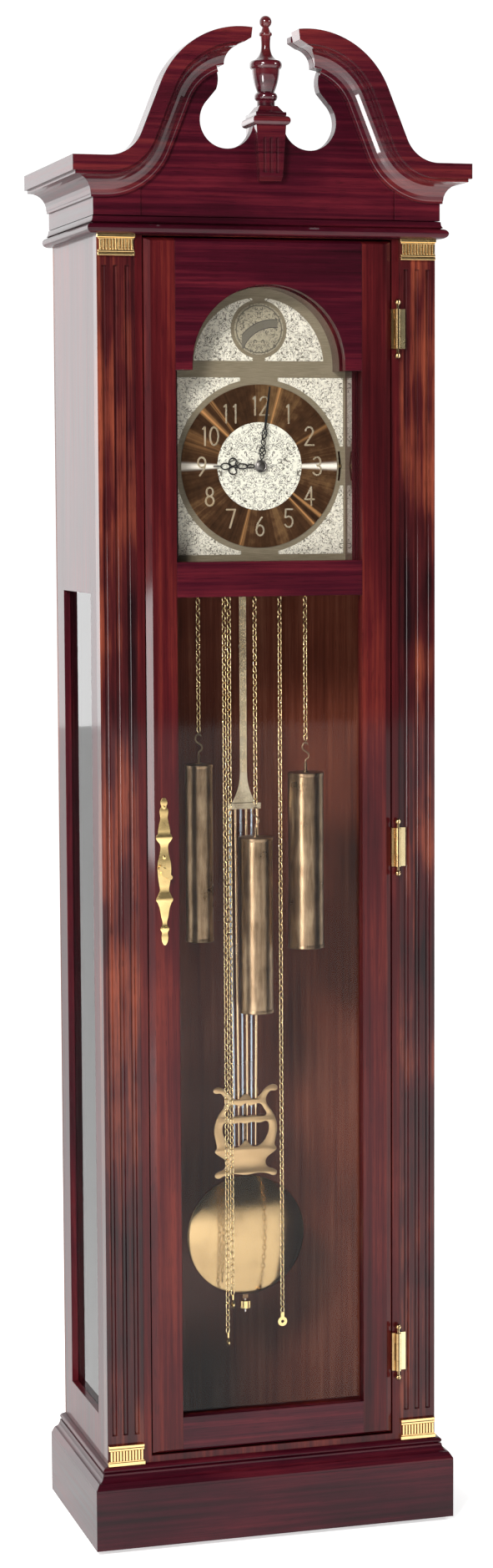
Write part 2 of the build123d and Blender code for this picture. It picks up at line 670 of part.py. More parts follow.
for name, drive in weights.items():
    x = drive["sprocket_x"]
    half = chain_width / 2 + 0.3
    with BuildPart() as sprocket:
        add_disc(x, sprocket_z, sprocket_radius - chain_width / 2 - 0.3, chain_depth - half, chain_depth + half)
        for low, high in ((-half - 1.5, -half), (half, half + 1.5)):
            add_disc(x, sprocket_z, sprocket_radius + 3, chain_depth + low, chain_depth + high)
        add_disc(x, sprocket_z, pivot_radius, front_plate_depth + 0.5, back_plate_depth + plate_sheet - 0.5)
        rim = drive["wheel_depth"]
        add_disc(x, sprocket_z, 8.0, chain_depth + half, rim)
        with BuildSketch(Plane.XZ.offset(-deep(rim + 2.5))) as wheel:
            with Locations((x, sprocket_z)):
                Circle(25.0)
                with PolarLocations(25.0, 48):
                    Rectangle(3.4, 1.5)
                with PolarLocations(15.5, 5):
                    Circle(5.0, mode=Mode.SUBTRACT)
        extrude(wheel.sketch, amount=2.5)
    save(sprocket, "sprocket_" + name)

with BuildPart() as centre_wheel:
    with BuildSketch(Plane.XZ.offset(-deep(112.5))) as wheel:
        with Locations((0, dial_centre_z)):
            Circle(20.0)
            with PolarLocations(20.0, 60):
                Rectangle(3.0, 1.0)
            with PolarLocations(12.0, 5):
                Circle(4.5, mode=Mode.SUBTRACT)
            Circle(2.0, mode=Mode.SUBTRACT)
    extrude(wheel.sketch, amount=2.0)
save(centre_wheel, "centre_wheel")

with BuildPart() as escape_wheel:
    add_disc(0, escape_z, pivot_radius, front_plate_depth + 0.5, back_plate_depth + plate_sheet - 0.5)
    with BuildSketch(Plane.XZ.offset(-deep(94))) as wheel:
        with Locations((0, escape_z)):
            Circle(escape_radius - 2.5)
            with PolarLocations(escape_radius - 2.4, 30):
                Rectangle(4.8, 0.9)
            with PolarLocations(7.5, 4):
                Circle(3.0, mode=Mode.SUBTRACT)
    extrude(wheel.sketch, amount=1.6)
save(escape_wheel, "escape_wheel")

leader_half = 5.0
leader_sheet = 3.0
crutch_bottom = plate_bottom + 45.0
anchor_front = 91.5
anchor_back = 94.5
pallet_inner = escape_radius - 0.8
pallet_width = 4.0
pallet_drop = 14.0

with BuildPart() as anchor_crutch:
    add_disc(0, pendulum_pivot_z, pivot_radius, front_plate_depth + 0.5, pendulum_depth - 8)
    add_board(-pallet_inner, pallet_inner, anchor_front, anchor_back, pendulum_pivot_z - 3, pendulum_pivot_z + 3)
    for side in (-1, 1):
        pallet = sorted((side * (pallet_inner + pallet_width), side * pallet_inner))
        add_board(*pallet, anchor_front, anchor_back, pendulum_pivot_z - pallet_drop, pendulum_pivot_z + 3)
    add_board(-1.5, 1.5, pendulum_depth - 9.5, pendulum_depth - 8, crutch_bottom, pendulum_pivot_z + 2)
    add_board(-leader_half - 2.5, leader_half + 2.5, pendulum_depth - 9.5, pendulum_depth - 8,
              crutch_bottom, crutch_bottom + 4)
    for side in (-1, 1):
        prong = sorted((side * (leader_half + 0.4), side * (leader_half + 2.5)))
        add_board(*prong, pendulum_depth - 8, pendulum_depth + 4, crutch_bottom, crutch_bottom + 4)
save(anchor_crutch, "anchor_crutch")

rod_depth = case_depth - back_thickness - 14.0
chime_block_bottom = 1700.0
chime_block_top = 1724.0
longest_rod_bottom = 1400.0
rod_step = 12.0
hammer_arm_z = 1639.0
hammer_arm_top = 1642.0
head_radius = 5.0
head_front = rod_depth - 18.0

with BuildPart() as chime_rods:
    add_board(-plate_half, plate_half, rod_depth - 12, side_back, chime_block_bottom, chime_block_top)
    for index in range(hammer_count):
        x = (index - (hammer_count - 1) / 2) * hammer_pitch
        add_post(x, rod_depth, 2.5, longest_rod_bottom + rod_step * index, chime_block_bottom)
save(chime_rods, "chime_rods")

with BuildPart() as chime_hammers:
    with Locations((0, deep(pendulum_depth), hammer_axis_z)):
        Cylinder(2.5, 2 * (plate_half - 3 - 0.3), rotation=(0, 90, 0))
    for index in range(hammer_count):
        x = (index - (hammer_count - 1) / 2) * hammer_pitch
        add_board(x - 1.5, x + 1.5, pendulum_depth - 1.5, pendulum_depth + 1.5, hammer_axis_z, hammer_arm_top)
        add_board(x - 1.5, x + 1.5, pendulum_depth + 1.5, head_front, hammer_arm_z, hammer_arm_top)
        add_disc(x, (hammer_arm_z + hammer_arm_top) / 2, head_radius, head_front, rod_depth - 2.5 - 1.0)
save(chime_hammers, "chime_hammers")

# ---------------------------------------------------------------- hands
hour_hand_depth = 41.0
minute_hand_depth = 38.5
hand_sheet = 1.2
minute_length = 0.98 * ring_radius
hour_length = 0.62 * ring_radius

with BuildPart() as minute_hand:
    with BuildSketch(Plane.XZ.offset(-deep(minute_hand_depth + hand_sheet))) as outline:
        with Locations((0, dial_centre_z)):
            Polygon((-2.2, -18), (-4.5, 30), (-1.6, 48), (-0.6, minute_length), (0.6, minute_length),
                    (1.6, 48), (4.5, 30), (2.2, -18), align=None, rotation=-7)
            Circle(9.0)
    extrude(outline.sketch, amount=hand_sheet)
    add_disc(0, dial_centre_z, 2.0, minute_hand_depth - 4, back_plate_depth - 0.5)
    add_disc(0, dial_centre_z, 6.0, minute_hand_depth - 4, minute_hand_depth)
save(minute_hand, "minute_hand")

with BuildPart() as hour_hand:
    with BuildSketch(Plane.XZ.offset(-deep(hour_hand_depth + hand_sheet))) as outline:
        with Locations((0, dial_centre_z)):
            Polygon((-3, -12), (-3, 20), (-10, 44), (-1, hour_length), (1, hour_length), (10, 44),
                    (3, 20), (3, -12), align=None, rotation=90)
            Circle(9.0)
    extrude(outline.sketch, amount=hand_sheet)
    add_disc(0, dial_centre_z, 4.5, hour_hand_depth, front_plate_depth - 6)
    add_disc(0, dial_centre_z, 2.0 + running_clearance, hour_hand_depth - 1, front_plate_depth, mode=Mode.SUBTRACT)
save(hour_hand, "hour_hand")

with BuildPart() as silence_lever:
    middle = ring_radius + 4.5
    add_board(middle - 1.0, middle + 1.0, dial_depth - 3, dial_depth + dial_sheet + 4,
              dial_centre_z - 2, dial_centre_z + 2)
    add_board(60, middle + 1.0, dial_depth + dial_sheet + 4, dial_depth + dial_sheet + 5.5,
              dial_centre_z - 4, dial_centre_z + 4)
save(silence_lever, "silence_lever")

# ---------------------------------------------------------------- weights, chains and chain tags
shell_wall = 0.8
end_cap_height = 5.0
hook_height = 45.0

for name, drive in weights.items():
    x, radius, bottom = drive["x"], drive["radius"], drive["bottom"]
    top = bottom + weight_length
    hook_top = top + hook_height
    with BuildPart() as weight:
        add_post(x, chain_depth, radius, bottom + end_cap_height, top - end_cap_height)
        add_post(x, chain_depth, radius - shell_wall, bottom + end_cap_height, top - end_cap_height, mode=Mode.SUBTRACT)
        add_post(x, chain_depth, radius - shell_wall - 0.5, bottom + end_cap_height + 0.3, top - end_cap_height - 0.3)
        for low in (bottom, top - end_cap_height + 0.05):
            add_post(x, chain_depth, radius + 0.6, low, low + end_cap_height - 0.05)
        add_post(x, chain_depth, 3.0, top, top + 14)
        with Locations((x, deep(chain_depth), top + 18.5)):
            Torus(5.0, 1.4, rotation=(90, 0, 0))
        with Locations((x, deep(chain_depth), top + 32)):
            Torus(5.0, 1.4, rotation=(90, 0, 0))
        add_post(x, chain_depth, 1.4, top + 22, top + 29)
        add_post(x, chain_depth, 1.4, top + 36, hook_top)
    save(weight, "weight_" + name)
    slack_x = 2 * drive["sprocket_x"] - x
    half = chain_width / 2
    with BuildPart() as chain:
        add_board(x - half, x + half, chain_depth - half, chain_depth + half, hook_top, sprocket_z)
        add_board(slack_x - half, slack_x + half, chain_depth - half, chain_depth + half,
                  drive["tag_top"], sprocket_z)
        with BuildSketch(Plane.XZ.offset(-deep(chain_depth + half))) as loop:
            with Locations((drive["sprocket_x"], sprocket_z)):
                Circle(sprocket_radius + half)
                Circle(sprocket_radius - half, mode=Mode.SUBTRACT)
            with Locations((drive["sprocket_x"], sprocket_z - 50)):
                Rectangle(100, 100, mode=Mode.SUBTRACT)
        extrude(loop.sketch, amount=chain_width)
    save(chain, "chain_" + name)
    with BuildPart() as chain_tag:
        facing = (1, 0, 0) if drive["tag_faces_front"] else (0, 1, 0)
        hang = Plane(origin=(slack_x, deep(chain_depth), drive["tag_top"]), x_dir=facing,
                     z_dir=Vector(*facing).cross(Vector(0, 0, 1)))
        with BuildSketch(hang) as drop:
            with Locations((0, -13)):
                Circle(6.5)
            with Locations((0, -4)):
                Rectangle(5, 8)
            with Locations((0, -13)):
                Circle(2.2, mode=Mode.SUBTRACT)
        extrude(drop.sketch, amount=1, both=True)
    save(chain_tag, "chain_tag_" + name)

# ---------------------------------------------------------------- pendulum
yoke_bottom = 974.0
yoke_top = 982.0
leader_flare_z = 1022.0
rod_spread_top = 7.75
rod_spread_bottom = 6.15
lyre_bottom = bob_top_z + 2.0
lyre_top = lyre_bottom + 127.0
rod_bottom = lyre_bottom + 92.0
nut_height = 10.0
nut_bottom = bob_centre_z - bob_radius - 10.0 - nut_height
yoke_half = 23.5
flare_half = 17.0
thread_radius = 2.0
hanger_depth = pendulum_depth + 2.4

with BuildPart() as pendulum_leader:
    sheet = (pendulum_depth - leader_sheet / 2, pendulum_depth + leader_sheet / 2)
    add_board(-4, 4, pendulum_depth - 0.3, pendulum_depth + 0.3, pendulum_pivot_z - 9, pendulum_pivot_z + 7.8)
    add_board(-leader_half, leader_half, *sheet, leader_flare_z, pendulum_pivot_z - 9)
    with BuildSketch(Plane.XZ.offset(-deep(sheet[1]))) as flare:
        with BuildLine():
            Line((leader_half, leader_flare_z), (-leader_half, leader_flare_z))
            Spline((-leader_half, leader_flare_z), (-7.5, leader_flare_z - 18), (-flare_half, yoke_top))
            Line((-flare_half, yoke_top), (flare_half, yoke_top))
            Spline((flare_half, yoke_top), (7.5, leader_flare_z - 18), (leader_half, leader_flare_z))
        make_face()
    extrude(flare.sketch, amount=leader_sheet)
    add_board(-yoke_half, yoke_half, pendulum_depth - 5, pendulum_depth + 5, yoke_bottom, yoke_top)
save(pendulum_leader, "pendulum_leader")

with BuildPart() as pendulum_rods:
    for index in range(6):
        place = index - 2.5
        head = Vector(place * rod_spread_top, deep(pendulum_depth), yoke_bottom - 0.05)
        tail = Vector(place * rod_spread_bottom, deep(pendulum_depth), rod_bottom)
        with BuildSketch(Plane(origin=tail, x_dir=(0, 1, 0), z_dir=head - tail)) as rod:
            Circle(2.0)
        extrude(rod.sketch, amount=(head - tail).length)
    add_board(-4, 4, hanger_depth, hanger_depth + 2.4, nut_bottom + nut_height + 3, rod_bottom + 26)
    add_post(0, hanger_depth + 1.2, thread_radius, nut_bottom - 6, nut_bottom + nut_height + 3)
    add_board(-20, 20, hanger_depth, hanger_depth + 2.4, rod_bottom + 14, rod_bottom + 26)
save(pendulum_rods, "pendulum_rods")

with BuildPart() as lyre_plate:
    with BuildSketch(Plane.XZ.offset(-deep(pendulum_depth - 2.2))) as lyre:
        with BuildLine():
            Spline((0, lyre_bottom), (24, lyre_bottom + 3), (43, lyre_bottom + 36), (36, lyre_bottom + 84),
                   (43, lyre_top))
            Line((43, lyre_top), (35, lyre_top))
            Spline((35, lyre_top), (27, lyre_bottom + 86), (33, lyre_bottom + 40), (19, lyre_bottom + 15),
                   (0, lyre_bottom + 12))
            Line((0, lyre_bottom + 12), (0, lyre_bottom))
        make_face()
        mirror(about=Plane.YZ)
        for z in (rod_bottom - 3, rod_bottom + 20):
            with Locations((0, z)):
                Rectangle(66, 6)
    extrude(lyre.sketch, amount=2.5)
save(lyre_plate, "lyre_plate")

bob_rim_half = 4.0
face_half = bob_radius - 4.0
face_rise = bob_thickness / 2 - bob_rim_half
face_curve = (face_half ** 2 + face_rise ** 2) / (2 * face_rise)
half_drop = face_curve - (face_curve ** 2 - (face_half / 2) ** 2) ** 0.5

with BuildPart() as pendulum_bob:
    with BuildSketch(Plane.XY.offset(bob_centre_z)):
        with BuildLine():
            for sign in (-1, 1):
                pole = (0, deep(pendulum_depth + sign * bob_thickness / 2))
                halfway = (face_half / 2, deep(pendulum_depth + sign * (bob_thickness / 2 - half_drop)))
                shoulder = (face_half, deep(pendulum_depth + sign * bob_rim_half))
                ThreePointArc(pole, halfway, shoulder)
                Line(shoulder, (bob_radius, deep(pendulum_depth + sign * 3)))
            Line((bob_radius, deep(pendulum_depth - 3)), (bob_radius, deep(pendulum_depth + 3)))
            Line((0, deep(pendulum_depth - bob_thickness / 2)), (0, deep(pendulum_depth + bob_thickness / 2)))
        make_face()
    revolve(axis=Axis((0, 0, bob_centre_z), (0, 1, 0)))
    add_board(-4.3, 4.3, hanger_depth - 0.3, hanger_depth + 2.7, bob_centre_z - bob_radius - 5,
              bob_centre_z + bob_radius + 5, mode=Mode.SUBTRACT)
save(pendulum_bob, "pendulum_bob")

with BuildPart() as rating_nut:
    add_post(0, hanger_depth + 1.2, 7.5, nut_bottom, nut_bottom + nut_height)
    add_post(0, hanger_depth + 1.2, thread_radius + running_clearance, nut_bottom - 1,
             nut_bottom + nut_height + 1, mode=Mode.SUBTRACT)
save(rating_nut, "rating_nut")

# ---------------------------------------------------------------- door
edge_chamfer = 8.0
plate_x = -(door_half + stile_inner) / 2
lock_z = 908.0
plate_sheet_brass = 1.5
spindle_radius = 3.0
spindle_hole = spindle_radius + 0.4
plate_height = 190.0
ball_offset = plate_height / 2 - 1.0
upper_wing_z = lock_z + 46.0
lower_wing_z = lock_z - 39.0
wing_width = 22.0
scroll_offset = 80.0
turn_proud = 7.0
turn_angle = -45.0
door_front_depth = -door_proud
door_back_depth = door_thickness - door_proud


def is_door_rim(edge):
    """True on the front edges that run round the outside of the door."""
    middle = edge.center()
    at_front = abs(middle.Y - deep(door_front_depth)) < 0.01
    at_side = abs(abs(middle.X) - door_half) < 0.01
    at_end = min(abs(middle.Z - door_top), abs(middle.Z - door_bottom)) < 0.01
    return at_front and (at_side or at_end)


def cut_glass_rebates():
    """Cuts the step behind the door frame that the panes and their beads sit in."""
    for low, high in ((door_bottom + bottom_rail_height, mid_rail_bottom),
                      (mid_rail_top, arch_spring_z + arch_radius)):
        add_board(-stile_inner - rebate, stile_inner + rebate, glass_depth, door_back_depth + 1,
                  low - rebate, high + rebate, mode=Mode.SUBTRACT)


with BuildPart() as door_stiles:
    for side in (-1, 1):
        edges = sorted((side * stile_inner, side * door_half))
        add_board(*edges, door_front_depth, door_back_depth, door_bottom, door_top)
    chamfer(door_stiles.edges().filter_by(is_door_rim), length=edge_chamfer * 0.6, length2=edge_chamfer)
    cut_glass_rebates()
    add_disc(plate_x, lock_z, spindle_hole, door_front_depth - 1, door_back_depth + 1, mode=Mode.SUBTRACT)
save(door_stiles, "door_stiles")

with BuildPart() as door_rails:
    between = stile_inner - glue_line
    add_board(-between, between, door_front_depth, door_back_depth, door_bottom, door_bottom + bottom_rail_height)
    add_board(-between, between, door_front_depth, door_back_depth, mid_rail_bottom, mid_rail_top)
    add_board(-between, between, door_front_depth, door_back_depth, shoulder_z, door_top)
    chamfer(door_rails.edges().filter_by(is_door_rim), length=edge_chamfer * 0.6, length2=edge_chamfer)
    add_disc(0, arch_spring_z, arch_radius, door_front_depth - 1, door_back_depth + 1, mode=Mode.SUBTRACT)
    add_board(-arch_radius, arch_radius, door_front_depth - 1, door_back_depth + 1,
              shoulder_z - 1, arch_spring_z, mode=Mode.SUBTRACT)
    cut_glass_rebates()
save(door_rails, "door_rails")

pane_half = stile_inner + rebate - pane_play
pane_edge = rebate - pane_play
panes = ((door_bottom + bottom_rail_height - pane_edge, mid_rail_bottom + pane_edge),
         (mid_rail_top - pane_edge, arch_spring_z + arch_radius + pane_edge))

for name, (low, high) in zip(("door_glass_lower", "door_glass_upper"), panes):
    with BuildPart() as pane:
        add_board(-pane_half, pane_half, glass_depth + 0.1, glass_depth + 0.1 + glass, low, high)
    save(pane, name)

bead = 5.0

with BuildPart() as door_glass_beads:
    bead_front = glass_depth + glass + 0.2
    for low, high in panes:
        for side in (-1, 1):
            edges = sorted((side * pane_half, side * (pane_half - bead)))
            add_board(*edges, bead_front, door_back_depth, low, high)
        for z in (low, high - bead):
            add_board(-pane_half + bead + glue_line, pane_half - bead - glue_line, bead_front, door_back_depth,
                      z, z + bead)
save(door_glass_beads, "door_glass_beads")

with BuildPart() as escutcheon:
    with BuildSketch(Plane.XZ.offset(-deep(door_front_depth - glue_line))) as face:
        with Locations((plate_x, lock_z)):
            Rectangle(5.0, plate_height)
            Rectangle(9.0, plate_height - 20)
            Rectangle(17.0, 34)
        for z in (lock_z - ball_offset, lock_z + ball_offset):
            with Locations((plate_x, z)):
                Circle(4.2)
        for z in (lower_wing_z, upper_wing_z):
            with Locations((plate_x, z)):
                Rectangle(wing_width, 9.0)
        for z in (lock_z - scroll_offset, lock_z + scroll_offset):
            with Locations((plate_x, z)):
                Rectangle(12.0, 7.0)
        with Locations((plate_x, lock_z)):
            Circle(spindle_hole, mode=Mode.SUBTRACT)
    extrude(face.sketch, amount=plate_sheet_brass)
save(escutcheon, "escutcheon")

cam_front = pilaster_thickness + 0.6

with BuildPart() as latch_lever:
    lever_front = door_front_depth - glue_line - plate_sheet_brass
    add_disc(plate_x, lock_z, spindle_radius, lever_front - turn_proud, cam_front)
    add_disc(plate_x, lock_z, 6.0, lever_front - turn_proud, lever_front - 0.4)
    with BuildSketch(Plane.XZ.offset(-deep(lever_front - 3))) as arm:
        with Locations((plate_x, lock_z)):
            SlotCenterToCenter(17, 6.5, rotation=turn_angle)
    extrude(arm.sketch, amount=4)
    add_board(plate_x - 5, plate_x + 5, cam_front, cam_front + 2.2, lock_z - 6, lock_z + 32)
save(latch_lever, "latch_lever")

# ---------------------------------------------------------------- door hinges
hinge_heights = (238.0, 929.5, 1618.0)
hinge_x = strip_inner + 6.4
knuckle_radius = 4.0
hinge_depth = -knuckle_radius - 1.5
hinge_half = 26.0
middle_knuckle_half = 12.0
pin_radius = 1.7
leaf_sheet = 1.4

with BuildPart() as hinge_door_leaves:
    leaf_front = hinge_depth + 2.0
    for z in hinge_heights:
        for low, high in ((z - hinge_half, z - middle_knuckle_half), (z + middle_knuckle_half, z + hinge_half)):
            add_post(hinge_x, hinge_depth, knuckle_radius, low, high)
            add_board(door_half + 1, hinge_x, leaf_front, leaf_front + leaf_sheet, low, high)
            add_post(hinge_x, hinge_depth, pin_radius + running_clearance, low - 1, high + 1, mode=Mode.SUBTRACT)
        add_board(door_half + 0.05, hinge_x - knuckle_radius - 0.6, leaf_front, leaf_front + leaf_sheet,
                  z - hinge_half, z + hinge_half)
        add_board(door_half + 0.05, door_half + 1.05, leaf_front, door_back_depth - 4,
                  z - hinge_half, z + hinge_half)
save(hinge_door_leaves, "hinge_door_leaves")

with BuildPart() as hinge_case_leaves:
    for z in hinge_heights:
        add_post(hinge_x, hinge_depth, knuckle_radius, z - middle_knuckle_half + 0.3, z + middle_knuckle_half - 0.3)
        add_board(hinge_x - 2, hinge_x + 2, hinge_depth + 2, -1.0,
                  z - middle_knuckle_half + 0.3, z + middle_knuckle_half - 0.3)
        add_board(hinge_x - 3.5, pilaster_inner + 8, -leaf_sheet, -0.05, z - hinge_half, z + hinge_half)
        add_post(hinge_x, hinge_depth, pin_radius, z - hinge_half - 7, z + hinge_half + 7)
        for end in (z - hinge_half - 9, z + hinge_half + 9):
            with Locations((hinge_x, deep(hinge_depth), end)):
                Sphere(knuckle_radius)
save(hinge_case_leaves, "hinge_case_leaves")
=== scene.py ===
"""Grandfather clock in glossy mahogany with a broken-arch top, an etched arched dial,
three chain-driven brass weights and a lyre pendulum.  Metres, front of the case towards -Y."""
import bpy
import math
from mathutils import Matrix, Vector


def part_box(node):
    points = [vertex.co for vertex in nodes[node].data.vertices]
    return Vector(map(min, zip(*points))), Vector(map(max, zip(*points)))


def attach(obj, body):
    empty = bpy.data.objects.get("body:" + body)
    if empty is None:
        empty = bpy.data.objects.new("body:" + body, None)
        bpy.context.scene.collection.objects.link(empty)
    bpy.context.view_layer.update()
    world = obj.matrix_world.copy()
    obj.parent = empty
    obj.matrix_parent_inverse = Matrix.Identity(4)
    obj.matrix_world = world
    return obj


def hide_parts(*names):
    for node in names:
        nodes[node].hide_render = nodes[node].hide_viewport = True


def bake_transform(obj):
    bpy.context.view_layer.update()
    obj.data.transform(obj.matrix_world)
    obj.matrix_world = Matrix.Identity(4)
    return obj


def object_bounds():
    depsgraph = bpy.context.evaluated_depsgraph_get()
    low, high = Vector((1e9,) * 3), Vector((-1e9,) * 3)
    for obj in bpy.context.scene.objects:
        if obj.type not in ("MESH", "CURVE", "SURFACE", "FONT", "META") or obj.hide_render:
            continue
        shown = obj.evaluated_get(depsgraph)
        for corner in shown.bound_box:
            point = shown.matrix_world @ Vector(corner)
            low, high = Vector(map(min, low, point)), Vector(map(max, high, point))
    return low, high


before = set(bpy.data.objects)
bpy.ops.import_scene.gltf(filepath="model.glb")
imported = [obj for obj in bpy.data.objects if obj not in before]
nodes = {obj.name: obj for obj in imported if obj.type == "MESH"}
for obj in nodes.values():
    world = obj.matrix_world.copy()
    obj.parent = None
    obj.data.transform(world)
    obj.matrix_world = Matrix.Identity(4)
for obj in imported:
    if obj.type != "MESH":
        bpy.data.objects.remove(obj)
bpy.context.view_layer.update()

# ---------------------------------------------------------------- where the viewer stands
# The viewer stands to the left of the clock, a little above its middle, and looks slightly
# down at it.  The lens is long, so the upright edges stay nearly parallel.
eye = Vector((-1.16556, -4.04810, 1.41045))
yaw, pitch, tilt = 0.2799, -0.0948, -0.0052
lens_mm, sensor_mm = 71.565, 36.0

ahead = Vector((math.sin(yaw) * math.cos(pitch), math.cos(yaw) * math.cos(pitch), math.sin(pitch)))
right_hand = Vector((math.cos(yaw), -math.sin(yaw), 0))
overhead = right_hand.cross(ahead)
camera_right = right_hand * math.cos(tilt) + overhead * math.sin(tilt)
camera_up = overhead * math.cos(tilt) - right_hand * math.sin(tilt)
view = bpy.data.cameras.new("view")
view.lens, view.sensor_width, view.sensor_fit = lens_mm, sensor_mm, "AUTO"
camera = bpy.data.objects.new("view", view)
bpy.context.scene.collection.objects.link(camera)
camera.matrix_world = Matrix((
    (camera_right.x, camera_up.x, -ahead.x, eye.x),
    (camera_right.y, camera_up.y, -ahead.y, eye.y),
    (camera_right.z, camera_up.z, -ahead.z, eye.z),
    (0, 0, 0, 1)))
bpy.context.scene.camera = camera
bpy.context.scene.view_settings.view_transform = "Standard"

# ---------------------------------------------------------------- floor and light
# A plain pale floor in a studio that is bright behind and to the left, and dim in front.  A
# large soft lamp hangs high on the left; weak ones stand low on the left and high on the right.
floor_half, floor_glow = 14.0, 0.58
bpy.ops.object.select_all(action="DESELECT")
bpy.ops.mesh.primitive_plane_add(size=2 * floor_half, location=(0, 0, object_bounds()[0][2]))
floor = bpy.context.object
floor.name = "studio_floor"


# A Wire is one shader socket.  Sums on wires add Math nodes, and Finish.add adds any
# other node to a finish: its settings are set first, then the values or wires of its inputs.
def plug(tree, socket, value):
    if isinstance(value, Wire):
        tree.links.new(value.socket, socket)
    else:
        socket.default_value = value


class Wire:
    def __init__(self, tree, socket):
        self.tree, self.socket = tree, socket

    def math(self, operation, *others, flipped=False):
        node = self.tree.nodes.new("ShaderNodeMath")
        node.operation = operation
        operands = (self,) + others
        for socket, value in zip(node.inputs, reversed(operands) if flipped else operands):
            plug(self.tree, socket, value)
        return Wire(self.tree, node.outputs[0])

    def __add__(self, other):
        return self.math("ADD", other)

    def __sub__(self, other):
        return self.math("SUBTRACT", other)

    def __rsub__(self, other):
        return self.math("SUBTRACT", other, flipped=True)

    def __mul__(self, other):
        return self.math("MULTIPLY", other)

    def __truediv__(self, other):
        return self.math("DIVIDE", other)

    def __gt__(self, other):
        return self.math("GREATER_THAN", other)

    def __lt__(self, other):
        return self.math("LESS_THAN", other)

    def __abs__(self):
        return self.math("ABSOLUTE")

    def sine(self):
        return self.math("SINE")

    def ramp(self, low, high):
        """0 below low, 1 above high, smooth between."""
        node = self.tree.nodes.new("ShaderNodeMapRange")
        node.interpolation_type = "SMOOTHSTEP"
        for name, value in (("Value", self), ("From Min", low), ("From Max", high)):
            plug(self.tree, node.inputs[name], value)
        return Wire(self.tree, node.outputs[0])

    __radd__, __rmul__ = __add__, __mul__


class Finish:
    """A material on one Principled shader; fixed values go straight on its sockets."""

    def __init__(self, name, **fixed):
        self.material = bpy.data.materials.new(name)
        self.material.use_nodes = True
        self.tree = self.material.node_tree
        self.shader = self.tree.nodes["Principled BSDF"]
        self.set(**fixed)

    def set(self, **values):
        """Base_Color=... and the like: a value or a wire for each named shader socket."""
        for name, value in values.items():
            plug(self.tree, self.shader.inputs[name.replace("_", " ")], value)

    def add(self, kind, settings=None, output=0, **values):
        """A node: its settings and colour stops, its inputs by name or as _index, and one output."""
        node = self.tree.nodes.new("ShaderNode" + kind)
        for name, value in (settings or {}).items():
            if name == "stops":
                for stop, (place, colour) in zip(node.color_ramp.elements, value):
                    stop.position, stop.color = place, (*colour, 1)
                for place, colour in value[2:]:
                    node.color_ramp.elements.new(place).color = (*colour, 1)
            else:
                setattr(node, name, value)
        for name, value in values.items():
            key = int(name[1:]) if name[0] == "_" else name.replace("_", " ")
            plug(self.tree, node.inputs[key], value)
        return Wire(self.tree, node.outputs[output])

    def place(self, stretch=(1, 1, 1), shift=(0, 0, 0)):
        """Object coordinates, moved by shift and then scaled by stretch."""
        where = self.add("TexCoord", output="Object")
        moved = self.add("VectorMath", {"operation": "ADD"}, _0=where, _1=shift)
        return self.add("VectorMath", {"operation": "MULTIPLY"}, _0=moved, _1=stretch)

    def axes(self, where):
        """The three parts of a vector."""
        return [self.add("SeparateXYZ", output=i, Vector=where) for i in range(3)]

    def join(self, x, y, z):
        return self.add("CombineXYZ", X=x, Y=y, Z=z)

    def noise(self, where, scale, detail=2.0, roughness=0.5, distortion=0.0):
        return self.add("TexNoise", Vector=where, Scale=scale, Detail=detail,
                        Roughness=roughness, Distortion=distortion)

    def colours(self, factor, stops):
        return self.add("ValToRGB", {"stops": stops}, Fac=factor)

    def mix(self, factor, first, second):
        """A colour between first and second."""
        return self.add("Mix", {"data_type": "RGBA"}, 2, _0=factor, _6=first, _7=second)

    def bump(self, height, depth, strength=1.0):
        self.set(Normal=self.add("Bump", Height=height, Distance=depth, Strength=strength))


pale = Finish("pale_floor", Roughness=0.9, Emission_Strength=floor_glow, Emission_Color=(1, 1, 1, 1))
speckle = pale.noise(pale.place(), scale=6.0, detail=4.0)
pale.set(Base_Color=pale.colours(speckle, [(0.0, (0.86, 0.86, 0.85)), (1.0, (0.90, 0.90, 0.89))]))
floor.data.materials.append(pale.material)

world = bpy.data.worlds.new("studio")
bpy.context.scene.world = world
world.use_nodes = True
air = world.node_tree
sky = air.nodes["Background"]
direction = Wire(air, air.nodes.new("ShaderNodeTexCoord").outputs["Generated"])
split = air.nodes.new("ShaderNodeSeparateXYZ")
plug(air, split.inputs[0], direction)
sideways, backwards = Wire(air, split.outputs[0]), Wire(air, split.outputs[1])
front_light, back_light, left_light = 0.025, 1.08, 1.6
glow_behind = (backwards - sideways * 0.25).ramp(-0.1, 0.5)
glow_left = (0.0 - sideways).ramp(0.0, 0.3) * backwards.ramp(0.5, 0.9)
brightness = front_light + back_light * glow_behind + left_light * glow_left
plug(air, sky.inputs["Color"], (1.0, 1.0, 1.0, 1.0))
plug(air, sky.inputs["Strength"], brightness)

lamps = (  # name, place, what it points at, width, watts
    ("key_lamp", (-2.4, -3.4, 3.3), (0, 0, 1.15), 1.3, 220.0),
    ("low_lamp", (-2.8, -3.0, 0.8), (0, 0, 0.8), 1.0, 42.0),
    ("fill_lamp", (3.4, -2.2, 2.9), (0, 0, 1.3), 0.9, 60.0),
)
for name, place, target, width, watts in lamps:
    lamp = bpy.data.lights.new(name, "AREA")
    lamp.shape, lamp.size, lamp.energy = "DISK", width, watts
    holder = bpy.data.objects.new(name, lamp)
    bpy.context.scene.collection.objects.link(holder)
    holder.location = place
    aim = Vector(target) - Vector(place)
    holder.rotation_euler = aim.to_track_quat("-Z", "Y").to_euler()

# ---------------------------------------------------------------- case of varnished mahogany
# Boards of straight-grained mahogany under thick gloss lacquer.  Uprights have their grain
# standing, rails and mouldings have it lying, along the front as well as along the sides.
def dress(finish, *names):
    """Gives CAD nodes a finish."""
    for name in names:
        nodes[name].data.materials.clear()
        nodes[name].data.materials.append(finish.material)


